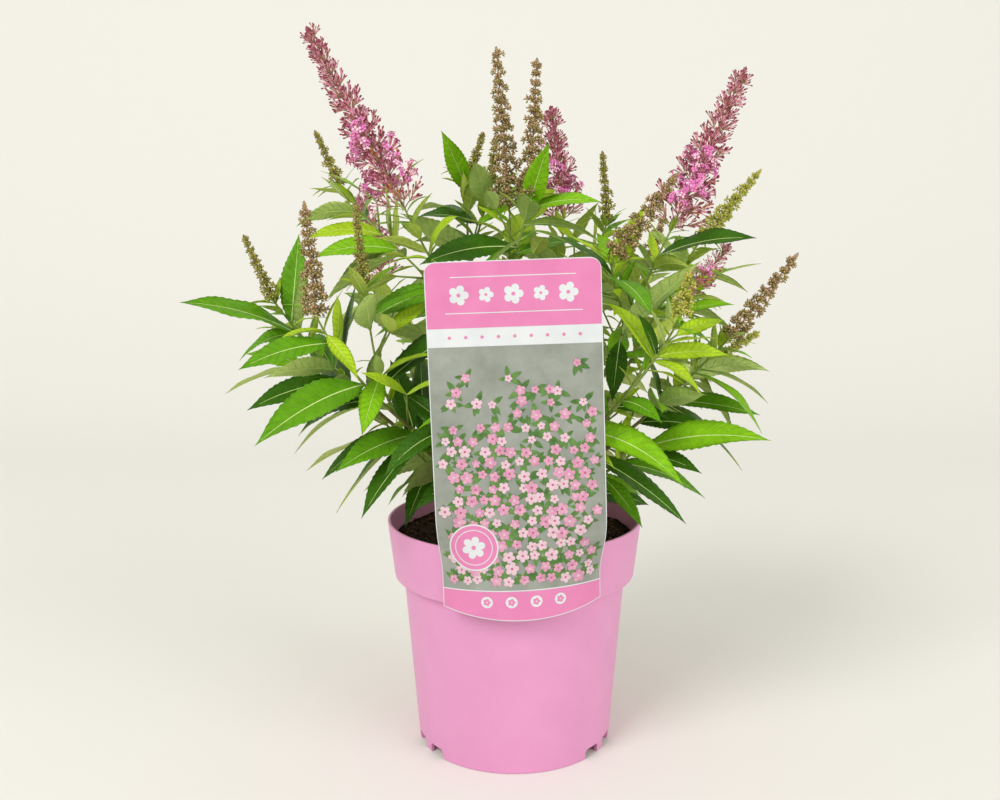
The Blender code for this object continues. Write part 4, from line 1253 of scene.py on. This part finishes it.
def make_woody_foot(surfaces):
    """The woody stub, with furrowed bark and the buttresses of its flare."""
    rings = []
    rows, sides = 46, 72
    for row in range(rows + 1):
        height = FOOT_HEIGHT * row / rows
        ring = []
        for k in range(sides):
            angle = 2 * math.pi * k / sides
            spoke = Vector((math.cos(angle), math.sin(angle), 0))
            furrow = noise.noise(Vector((math.cos(angle) * 6, math.sin(angle) * 6, height * 60)))
            fleck = noise.noise(Vector((math.cos(angle) * 15, math.sin(angle) * 15, height * 260)))
            radius = foot_radius(height, angle) * (1 + 0.06 * furrow + 0.025 * fleck) - 0.0002
            ring.append(foot_centre(height) + spoke * radius)
        rings.append(ring)
    top = foot_centre(FOOT_HEIGHT)
    rings.append([top.lerp(point, 0.7) + UP * 0.0005 for point in rings[-1]])
    heap = Heap()
    heap.add_solid(loft(rings), 0)
    return heap.made("woody_foot_bark", [surfaces["stem"][STEM_BARK]])[0]


def pot_wall_radius(height):
    collar_foot = POT_HEIGHT - COLLAR_DEPTH
    if height >= collar_foot:
        return COLLAR_FOOT_RADIUS + (RIM_RADIUS - COLLAR_FOOT_RADIUS) * (height - collar_foot) / COLLAR_DEPTH
    return WALL_FOOT_RADIUS + (WALL_TOP_RADIUS - WALL_FOOT_RADIUS) * height / collar_foot


def rounded(corners, radius, steps=4):
    """A profile whose inner corners are rounded off."""
    made = [corners[0]]
    for before, corner, after in zip(corners, corners[1:], corners[2:]):
        here = Vector(corner)
        back, on = Vector(before) - here, Vector(after) - here
        cut = min(radius, back.length * 0.45, on.length * 0.45)
        first, last = here + back.normalized() * cut, here + on.normalized() * cut
        for i in range(steps + 1):
            t = i / steps
            made.append(tuple(first * (1 - t) ** 2 + here * 2 * t * (1 - t) + last * t * t))
    made.append(corners[-1])
    return made


POT_SIDES = 240
POT_ROUNDING = 0.0011


def make_pot(surface):
    """The pot, moulded: a soft rim, a stepped collar, a foot ring and its drainage notches."""
    inner_floor_edge = CHANNEL_RADIUS - WALL
    collar_foot = POT_HEIGHT - COLLAR_DEPTH
    channel_top = CHANNEL_HEIGHT + FLOOR
    corners = [
        (0.0, FLOOR),
        (inner_floor_edge, FLOOR),
        (CHANNEL_RADIUS, channel_top),
        (pot_wall_radius(channel_top) - WALL, channel_top),
        (WALL_TOP_RADIUS - WALL, collar_foot + WALL),
        (COLLAR_FOOT_RADIUS - WALL, collar_foot + 2 * WALL),
        (RIM_RADIUS - WALL, POT_HEIGHT),
        (RIM_RADIUS, POT_HEIGHT),
        (COLLAR_FOOT_RADIUS, collar_foot),
        (WALL_TOP_RADIUS, collar_foot),
        (WALL_FOOT_RADIUS, 0.0),
        (WALL_FOOT_RADIUS - WALL, 0.0),
        (WALL_FOOT_RADIUS - WALL, CHANNEL_HEIGHT),
        (CHANNEL_RADIUS + WALL, CHANNEL_HEIGHT),
        (CHANNEL_RADIUS, 0.0),
        (0.0, 0.0),
    ]
    profile = rounded(corners, POT_ROUNDING)
    points, faces = [], []
    for step in range(POT_SIDES):
        angle = 2 * math.pi * step / POT_SIDES
        points += [(r * math.cos(angle), r * math.sin(angle), z) for r, z in profile]
    count = len(profile)
    for step in range(POT_SIDES):
        near, far = step * count, (step + 1) % POT_SIDES * count
        for i in range(count - 1):
            faces.append((near + i, far + i, far + i + 1, near + i + 1))
    mesh = bpy.data.meshes.new("pot_moulded")
    mesh.from_pydata(points, [], faces)
    mesh.materials.append(surface)
    pot = placed("pot_moulded", mesh)
    weld = pot.modifiers.new("weld", "WELD")
    weld.merge_threshold = 0.00001
    notches = Heap()
    half, top = NOTCH_WIDTH / 2, CHANNEL_HEIGHT - 0.0005
    arch = (
        (-half, -0.003), (half, -0.003), (half, top - 0.002),
        (half - 0.002, top), (-half + 0.002, top), (-half, top - 0.002),
    )
    for quarter in range(4):
        for angle in NOTCH_ANGLES:
            turn = math.radians(-90 + 180 * (quarter // 2) + (-angle if quarter % 2 else angle))
            spin = Matrix.Rotation(turn, 3, "Z")
            rings = []
            for x in (-1.5 * WALL, 1.5 * WALL):
                far = WALL_FOOT_RADIUS - WALL / 2 + x
                rings.append([spin @ Vector((far, y, z)) for y, z in arch])
            notches.add_solid(loft(rings), 0)
    cutter = notches.made("notches", [surface], smooth=False)[0]
    cut = pot.modifiers.new("notches", "BOOLEAN")
    cut.object = cutter
    cut.operation = "DIFFERENCE"
    cut.use_self = True
    pot = applied(pot, "pot_moulded")
    bpy.data.objects.remove(cutter)
    smooth_by_angle(pot, 40)
    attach(pot, "root")
    return pot


def applied(item, name):
    """The item's evaluated mesh as a plain object in its place."""
    bpy.context.view_layer.update()
    graph = bpy.context.evaluated_depsgraph_get()
    mesh = bpy.data.meshes.new_from_object(item.evaluated_get(graph))
    bpy.data.objects.remove(item)
    return placed(name, mesh)


def smooth_by_angle(item, degrees):
    item.data.shade_smooth()
    item.data.set_sharp_from_angle(angle=math.radians(degrees))


SOIL_RADIUS = 0.0897
SOIL_RINGS = 44
SOIL_SIDES = 150
SOIL_SKIRT = 0.132
SOIL_CLEARING = 0.018
CRUMBS = 1100
FIBRES = 240
# The lumps of the compost: how close they are, the part of the noise they are cut from, and their height.
SOIL_LUMPS = ((45, 1, 0.0016), (150, 5, 0.0011), (420, 9, 0.0007))
SOIL_SURFACES = (
    ("compost", (0.010, 0.005, 0.003), (0.042, 0.022, 0.014), 0.95, 500, 0.0008),
    ("compost_crumb", (0.022, 0.010, 0.006), (0.080, 0.042, 0.026), 0.95, 700, 0.0004),
    ("compost_fibre", (0.110, 0.060, 0.032), (0.230, 0.140, 0.075), 0.90, 700),
)


def add_crumb(heap, rng):
    """A crumb of compost or bark, clear of the woody foot."""
    angle = rng.uniform(0, 2 * math.pi)
    radius = SOIL_RADIUS * 0.97 * math.sqrt(rng.random())
    height = SOIL_TOP + rng.uniform(-0.0008, 0.0006)
    centre = Vector((radius * math.cos(angle), radius * math.sin(angle), height))
    if centre.xy.length < SOIL_CLEARING:
        return
    size = rng.uniform(0.0005, 0.0022)
    rings = []
    for share, width in ((-0.8, 0.5), (0, 1), (0.8, 0.45)):
        ring = []
        for a in (0, 1.26, 2.51, 3.77, 5.03):
            x = math.cos(a) * width * size * rng.uniform(0.7, 1.2)
            y = math.sin(a) * width * size * rng.uniform(0.7, 1.2)
            ring.append(centre + Vector((x, y, share * size * 0.7)))
        rings.append(ring)
    heap.add_solid(loft(rings), rng.choice((0, 0, 1, 1, 2)))


def add_fibre(heap, rng):
    """A short bent fibre on the compost, inside the wall of the pot."""
    angle = rng.uniform(0, 2 * math.pi)
    radius = SOIL_RADIUS * 0.94 * math.sqrt(rng.random())
    start = Vector((radius * math.cos(angle), radius * math.sin(angle), SOIL_TOP + 0.0004))
    way = around(rng.uniform(0, 360))
    bend = around(rng.uniform(0, 360)) * 0.3
    reach = rng.uniform(0.003, 0.010)
    path = []
    for t in (0, 0.33, 0.66, 1):
        path.append(start + way * reach * t + bend * reach * t * t + UP * 0.0012 * math.sin(3.1 * t))
    if max(point.xy.length for point in path) <= SOIL_RADIUS - 0.002:
        heap.add_solid(tube(path, [0.00018] * 4, 4), 2)


def make_soil():
    """Compost: a lumpy top of crumbs and fibres."""
    points, faces = [], []
    for ring in range(SOIL_RINGS + 1):
        radius = SOIL_RADIUS * (ring / SOIL_RINGS) ** 0.9
        for k in range(SOIL_SIDES):
            angle = 2 * math.pi * k / SOIL_SIDES
            x, y = radius * math.cos(angle), radius * math.sin(angle)
            level = 0
            for scale, start, height in SOIL_LUMPS:
                level += noise.noise(Vector((x * scale, y * scale, start))) * height
            points.append((x, y, SOIL_TOP - 0.0006 + level))
    points += [(x * 0.93, y * 0.93, SOIL_SKIRT) for x, y, _ in points[-SOIL_SIDES:]]
    for ring in range(SOIL_RINGS + 1):
        for k in range(SOIL_SIDES):
            a, b = ring * SOIL_SIDES + k, ring * SOIL_SIDES + (k + 1) % SOIL_SIDES
            faces.append((a, a + SOIL_SIDES, b + SOIL_SIDES, b))
    heap = Heap()
    heap.add(points, faces, 0)
    rng = random.Random(5)
    for _ in range(CRUMBS):
        add_crumb(heap, rng)
    for _ in range(FIBRES):
        add_fibre(heap, rng)
    return heap.made("compost", [speckled(*row, specular=0.1) for row in SOIL_SURFACES])[0]


def label_point(across, up, proud=0.0):
    """A point of the card's back, or so far in front of it."""
    turned_across = across * math.cos(LABEL_TURN) - up * math.sin(LABEL_TURN) + LABEL_SHIFT
    height = LABEL_FOOT + up * math.cos(LABEL_TURN) + across * math.sin(LABEL_TURN)
    wrap = smooth_step(0, 1, (LABEL_WRAP_TOP - height) / (LABEL_WRAP_TOP - LABEL_WRAP_END))
    radius = RIM_RADIUS + LABEL_GAP
    bend = max(1e-6, wrap / radius)
    angle = turned_across * bend
    point = Vector((math.sin(angle) / bend, -radius + (1 - math.cos(angle)) / bend, height))
    return point + Vector((math.sin(angle), -math.cos(angle), 0)) * proud


def label_outline_up(across):
    """The card's foot and top at a distance across from its middle: a bowed foot, round corners."""
    side = abs(across) / (LABEL_WIDTH / 2)
    foot = LABEL_FOOT_ARC * side * side
    into = max(0, abs(across) - (LABEL_WIDTH / 2 - LABEL_CORNER))
    drop = math.sqrt(max(0, LABEL_CORNER * LABEL_CORNER - into * into))
    return foot, LABEL_HEIGHT - LABEL_CORNER + drop


def patch(heap, low, high, tone, proud, columns=48, rows=10, inset=0.0):
    """A band of print between two heights up the card."""
    width = LABEL_WIDTH / 2 - inset
    points, faces = [], []
    for row in range(rows + 1):
        for column in range(columns + 1):
            across = -math.cos(math.pi * column / columns) * width
            foot, top = label_outline_up(across)
            bottom, ceiling = max(low, foot + inset), min(high, top - inset)
            points.append(label_point(across, bottom + (ceiling - bottom) * row / rows, proud))
    wide = columns + 1
    for row in range(rows):
        for column in range(columns):
            a = row * wide + column
            faces.append((a, a + 1, a + 1 + wide, a + wide))
    heap.add(points, faces, tone)


def flat_shape(heap, outline, across, up, tone, proud, rings=1):
    """A printed shape: a closed outline about (across, up), filled in rings that follow the card's bend."""
    points = [label_point(across, up, proud)]
    for ring in range(1, rings + 1):
        share = ring / rings
        points += [label_point(across + x * share, up + y * share, proud) for x, y in outline]
    count = len(outline)
    faces = [(0, 1 + i, 1 + (i + 1) % count) for i in range(count)]
    for ring in range(rings - 1):
        start = 1 + ring * count
        for i in range(count):
            after = (i + 1) % count
            faces.append((start + i, start + count + i, start + count + after, start + after))
    heap.add(points, faces, tone)


LABEL_CORNER = 0.0075
CARD_COLUMNS = 48
CARD_ROWS = 120
PRINT_MARGIN = 0.0006
PRINT_HEAD = 0.1975
PRINT_STRIP = 0.1855
PRINT_FOOT = 0.0215
INK_LAYER = 0.00008
INK_OVER = 0.00006
WHITE, PINK, SAGE, ROSE, LEAF_GREEN, DEEP, BLUSH = range(7)
INKS = (
    ("print_white", (0.60, 0.63, 0.63), (0.67, 0.69, 0.69), 0.34, 60),
    ("print_pink", (0.640, 0.185, 0.375), (0.680, 0.210, 0.410), 0.34, 60),
    ("print_sage", (0.215, 0.235, 0.200), (0.315, 0.335, 0.290), 0.34, 45),
    ("print_rose", (0.520, 0.210, 0.330), (0.680, 0.360, 0.470), 0.34, 250),
    ("print_leaf", (0.040, 0.120, 0.020), (0.130, 0.260, 0.060), 0.34, 150),
    ("print_deep", (0.400, 0.060, 0.150), (0.520, 0.120, 0.240), 0.34, 300),
    ("print_blush", (0.620, 0.400, 0.470), (0.700, 0.520, 0.570), 0.34, 300),
)


def make_label():
    """The card: pink head and foot bands, a white strip, and a panel with plain scattered flowers."""
    inks = [speckled(*row, specular=0.4) for row in INKS]
    card = Heap()
    for proud in (LABEL_THICKNESS, 0.0):
        patch(card, 0, 1, 0, proud, CARD_COLUMNS, CARD_ROWS)
    wide, tall = CARD_COLUMNS + 1, CARD_ROWS + 1
    count = wide * tall
    border = [row * wide for row in range(tall)]
    border += [CARD_ROWS * wide + column for column in range(1, wide)]
    border += [row * wide + CARD_COLUMNS for row in range(tall - 2, -1, -1)]
    border += list(range(CARD_COLUMNS - 1, 0, -1))
    edge = [(a, b, b + count, a + count) for a, b in zip(border, border[1:] + border[:1])]
    card.faces += edge
    card.tones += [0] * len(edge)
    printed = Heap()
    layer = LABEL_THICKNESS + INK_LAYER
    over = layer + INK_OVER
    for low, high, tone, rows in (
        (PRINT_HEAD, 1, PINK, 12),
        (PRINT_FOOT, PRINT_STRIP, SAGE, 90),
        (0, PRINT_FOOT - 0.0008, PINK, 12),
    ):
        patch(printed, low, high, tone, layer, rows=rows, inset=PRINT_MARGIN)
    add_flowers(printed, PRINT_FOOT, PRINT_STRIP, over)
    add_badge(printed, -0.032, PRINT_FOOT + 0.030, over + 2 * LEVEL * LEVELS + 0.00005)
    add_head(printed, over)
    for k in range(9):
        flat_shape(printed, circle(0.0011), (k - 4) * 0.0105, (PRINT_HEAD + PRINT_STRIP) / 2, PINK, layer)
    foot_middle = PRINT_FOOT / 2 + 0.0025
    for k in range(4):
        across = (k - 1.5) * 0.0165
        flat_shape(printed, circle(0.0040), across, foot_middle, WHITE, over)
        rosette(printed, across, foot_middle, 0.0026, PINK, WHITE, over + 0.00005)
    body = card.made("label_card", [inks[WHITE]], smooth=False)[0]
    smooth_by_angle(body, 30)
    prints = printed.made("label_print", inks)[0]
    return [body, prints, make_hook(inks[WHITE])]


def add_head(heap, proud):
    """The head band's row of white flowers between two rules."""
    for up, half in ((PRINT_HEAD + 0.0095, 0.044), (PRINT_HEAD + 0.0325, 0.040)):
        for x in range(8):
            middle = half * (x - 3.5) / 4
            bar = [(-half / 8, -0.0003), (half / 8, -0.0003), (half / 8, 0.0003), (-half / 8, 0.0003)]
            flat_shape(heap, bar, middle, up, WHITE, proud)
    for k in range(5):
        size = 0.0050 if k % 2 else 0.0066
        rosette(heap, (k - 2) * 0.0175, PRINT_HEAD + 0.021, size, WHITE, PINK, proud)


def circle(radius, count=20):
    return [(radius * math.cos(2 * math.pi * i / count), radius * math.sin(2 * math.pi * i / count))
            for i in range(count)]


def rosette(heap, across, up, size, tone, eye_tone, proud, spin=0.0, petals=5, rings=1):
    """A plain flower of round petals about an eye."""
    outline = []
    for i in range(petals * 8):
        angle = 2 * math.pi * i / (petals * 8) + spin
        radius = size * (0.62 + 0.38 * abs(math.cos(petals * (angle - spin) / 2)) ** 0.7)
        outline.append((radius * math.cos(angle), radius * math.sin(angle)))
    flat_shape(heap, outline, across, up, tone, proud, rings)
    flat_shape(heap, circle(size * 0.20, 10), across, up, eye_tone, proud + 0.00003)


def leaf_print(heap, across, up, length, angle, tone, proud):
    """A printed leaf: a pointed oval that starts at (across, up)."""
    outline = []
    for i in range(16):
        share = i / 8 if i <= 8 else 2 - i / 8
        half = 0.19 * length * math.sin(math.pi * share) * (1 if i <= 8 else -1)
        along = length * (share - 0.5)
        outline.append((along * math.cos(angle) - half * math.sin(angle),
                        along * math.sin(angle) + half * math.cos(angle)))
    reach = length * 0.5
    flat_shape(heap, outline, across + reach * math.cos(angle), up + reach * math.sin(angle), tone, proud)


FLOWERS_ACROSS = 0.0096
FLOWERS_UP = 0.0080
LEVELS = 131
LEVEL = 0.0000012


def add_flowers(heap, low, high, proud):
    """Scattered flowers on sprays of leaves: a full bed at the foot that thins out upwards."""
    rng = random.Random(21)
    rows = int((high - low - 0.010) / FLOWERS_UP)
    edge = LABEL_WIDTH / 2 - PRINT_MARGIN - 0.0056
    level = 0
    for row in range(rows):
        share = row / rows
        for column in range(-6, 7):
            across = (column + 0.5 * (row % 2) + rng.uniform(-0.26, 0.26)) * FLOWERS_ACROSS
            up = low + 0.0062 + FLOWERS_UP * (row + rng.uniform(-0.10, 0.22))
            if abs(across) > edge or rng.random() > 1.25 - 1.15 * max(0, share - 0.35) / 0.65:
                continue
            for _ in range(4):
                level = (level + 1) % LEVELS
                reach = min(rng.uniform(0.0066, 0.0098), edge + 0.0050 - abs(across))
                turn = rng.uniform(0, math.pi) if row == 0 else rng.uniform(0, 2 * math.pi)
                leaf_print(heap, across, up, reach, turn, LEAF_GREEN, proud + LEVEL * level)
            size = rng.uniform(0.0032, 0.0050) * (1 - 0.25 * share)
            tone, eye = rng.choice(((ROSE, DEEP), (ROSE, BLUSH), (BLUSH, DEEP)))
            flower_proud = proud + LEVEL * (LEVELS + level)
            rosette(heap, across, up, size, tone, eye, flower_proud, rng.uniform(0, 1.2))


BADGE_STEP = 0.00005
BADGE_RINGS = ((0.0165, WHITE), (0.0155, PINK), (0.0126, WHITE), (0.0120, PINK))


def add_badge(heap, across, up, proud):
    """A round pink badge with a white ring and flower."""
    for step, (radius, tone) in enumerate(BADGE_RINGS):
        flat_shape(heap, circle(radius, 48), across, up, tone, proud + BADGE_STEP * step, rings=10)
    top = proud + BADGE_STEP * len(BADGE_RINGS)
    rosette(heap, across, up, 0.0080, WHITE, PINK, top, 0.3, petals=6, rings=5)


HOOK_STATIONS = (-0.0110, -0.0106, 0.0106, 0.0110)
HOOK_THICKNESS = 0.0010
HOOK_DEPTH = 0.011
HOOK_GAP = 0.0038


def make_hook(surface):
    """The tongue that holds the card to the rim."""
    back = -(RIM_RADIUS + LABEL_GAP)
    over = POT_HEIGHT + CLEARANCE * 2
    inside = -(RIM_RADIUS - WALL - HOOK_GAP)
    end = POT_HEIGHT - HOOK_DEPTH
    section = [
        (back, over), (back, over + 2 * HOOK_THICKNESS),
        (inside + HOOK_THICKNESS * 0.5, over + 2 * HOOK_THICKNESS),
        (inside + HOOK_THICKNESS, over + HOOK_THICKNESS),
        (inside + HOOK_THICKNESS, end), (inside, end), (inside, over),
    ]
    heap = Heap()
    heap.add_solid(loft([[Vector((x, y, z)) for y, z in section] for x in HOOK_STATIONS]), 0)
    return heap.made("label_hook", [surface], smooth=False)[0]


# Backdrop: the front edge of its floor, where it bends up, how round that bend is, and its top.
BACKDROP_FRONT = -3.0
BACKDROP_BEND = 1.0
BACKDROP_RADIUS = 1.2
BACKDROP_TOP = 4.0
SKY_COLOR = (1.0, 0.99, 0.965, 1)
SKY_STRENGTH = 0.70
LIGHTS = (("key", (-2.3, -2.9, 3.2), 122, 2.0), ("fill", (2.9, -2.4, 1.6), 60, 2.6))
LIGHT_AIM = Vector((0, 0, 0.26))


def make_camera():
    camera = bpy.data.cameras.new("camera")
    camera.lens = CAMERA_LENS
    camera.sensor_width = 36
    camera.shift_x = CAMERA_SHIFT
    camera.clip_start = 0.01
    made = placed("camera", camera)
    made.location = (0, -CAMERA_BACK, CAMERA_HEIGHT)
    made.rotation_euler = (math.radians(90 - CAMERA_PITCH), 0, 0)
    bpy.context.scene.camera = made


def make_studio():
    """A pale floor that sweeps up behind the plant, a bright even sky and two soft lights."""
    make = Nodes("backdrop", 0.95, 0.0)
    make.color((0.765, 0.755, 0.700))
    profile = [(BACKDROP_FRONT, 0.0), (BACKDROP_BEND, 0.0)]
    for i in range(1, 13):
        angle = math.pi / 2 * i / 12
        back = BACKDROP_BEND + BACKDROP_RADIUS * math.sin(angle)
        profile.append((back, BACKDROP_RADIUS * (1 - math.cos(angle))))
    profile.append((BACKDROP_BEND + BACKDROP_RADIUS, BACKDROP_TOP))
    points = [(x, y, z) for x in (-4, 4) for y, z in profile]
    count = len(profile)
    faces = [(i, count + i, count + i + 1, i + 1) for i in range(count - 1)]
    mesh = bpy.data.meshes.new("backdrop")
    mesh.from_pydata(points, [], faces)
    mesh.shade_smooth()
    mesh.materials.append(make.surface)
    sweep = placed("backdrop", mesh)
    world = bpy.data.worlds.new("studio")
    world.use_nodes = True
    sky = world.node_tree.nodes["Background"]
    sky.inputs[0].default_value = SKY_COLOR
    sky.inputs[1].default_value = SKY_STRENGTH
    bpy.context.scene.world = world
    for name, place, power, size in LIGHTS:
        light = bpy.data.lights.new(name, "AREA")
        light.energy = power
        light.size = size
        made = placed(name, light)
        made.location = place
        aim = LIGHT_AIM - made.location
        made.rotation_euler = aim.to_track_quat("-Z", "Y").to_euler()
    bpy.context.scene.view_settings.view_transform = "Standard"


def cad_solid(node):
    """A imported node's mesh, as what the new pieces keep clear of."""
    mesh = node.data
    points = [vertex.co.copy() for vertex in mesh.vertices]
    return Solid(points, [tuple(face.vertices) for face in mesh.polygons])


def main():
    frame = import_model()
    make_camera()
    make_studio()
    space = Space()
    curves = grow_curves()
    for name in ("pot", "soil", "plant_label", "woody_foot", *(mass + "_bough" for mass in curves)):
        space.add(cad_solid(frame["nodes"][name]), name)
    surfaces = make_surfaces()
    heaps = {kind: Heap() for kind in ("leaf", "stem", "bloom", "bud")}
    shapes = {
        "bloom": bud_shape(BLOOM_LENGTH, BLOOM_RADIUS, TUBE_BUD, 4),
        "bud": bud_shape(BUD_LENGTH, BUD_RADIUS, POINTED_BUD, 4),
        "floret": floret_shape(FLORET_LENGTH, PETAL_LENGTH),
    }
    grow(curves, space, heaps, shapes)
    names = {"leaf": "leaves", "stem": "stems", "bloom": "blooms", "bud": "buds"}
    made = {kind: heap.made(names[kind], surfaces[kind]) for kind, heap in heaps.items()}
    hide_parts(*curves)
    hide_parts(*(mass + "_bough" for mass in curves))
    foot = make_woody_foot(surfaces)
    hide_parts("woody_foot")
    pink, light_pink = (0.690, 0.285, 0.500), (0.725, 0.305, 0.530)
    pot = make_pot(speckled("pot_plastic", pink, light_pink, 0.42, 30, 0.00004, specular=0.35))
    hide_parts("pot")
    soil = make_soil()
    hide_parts("soil")
    label = make_label()
    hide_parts("plant_label")
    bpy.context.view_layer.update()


main()
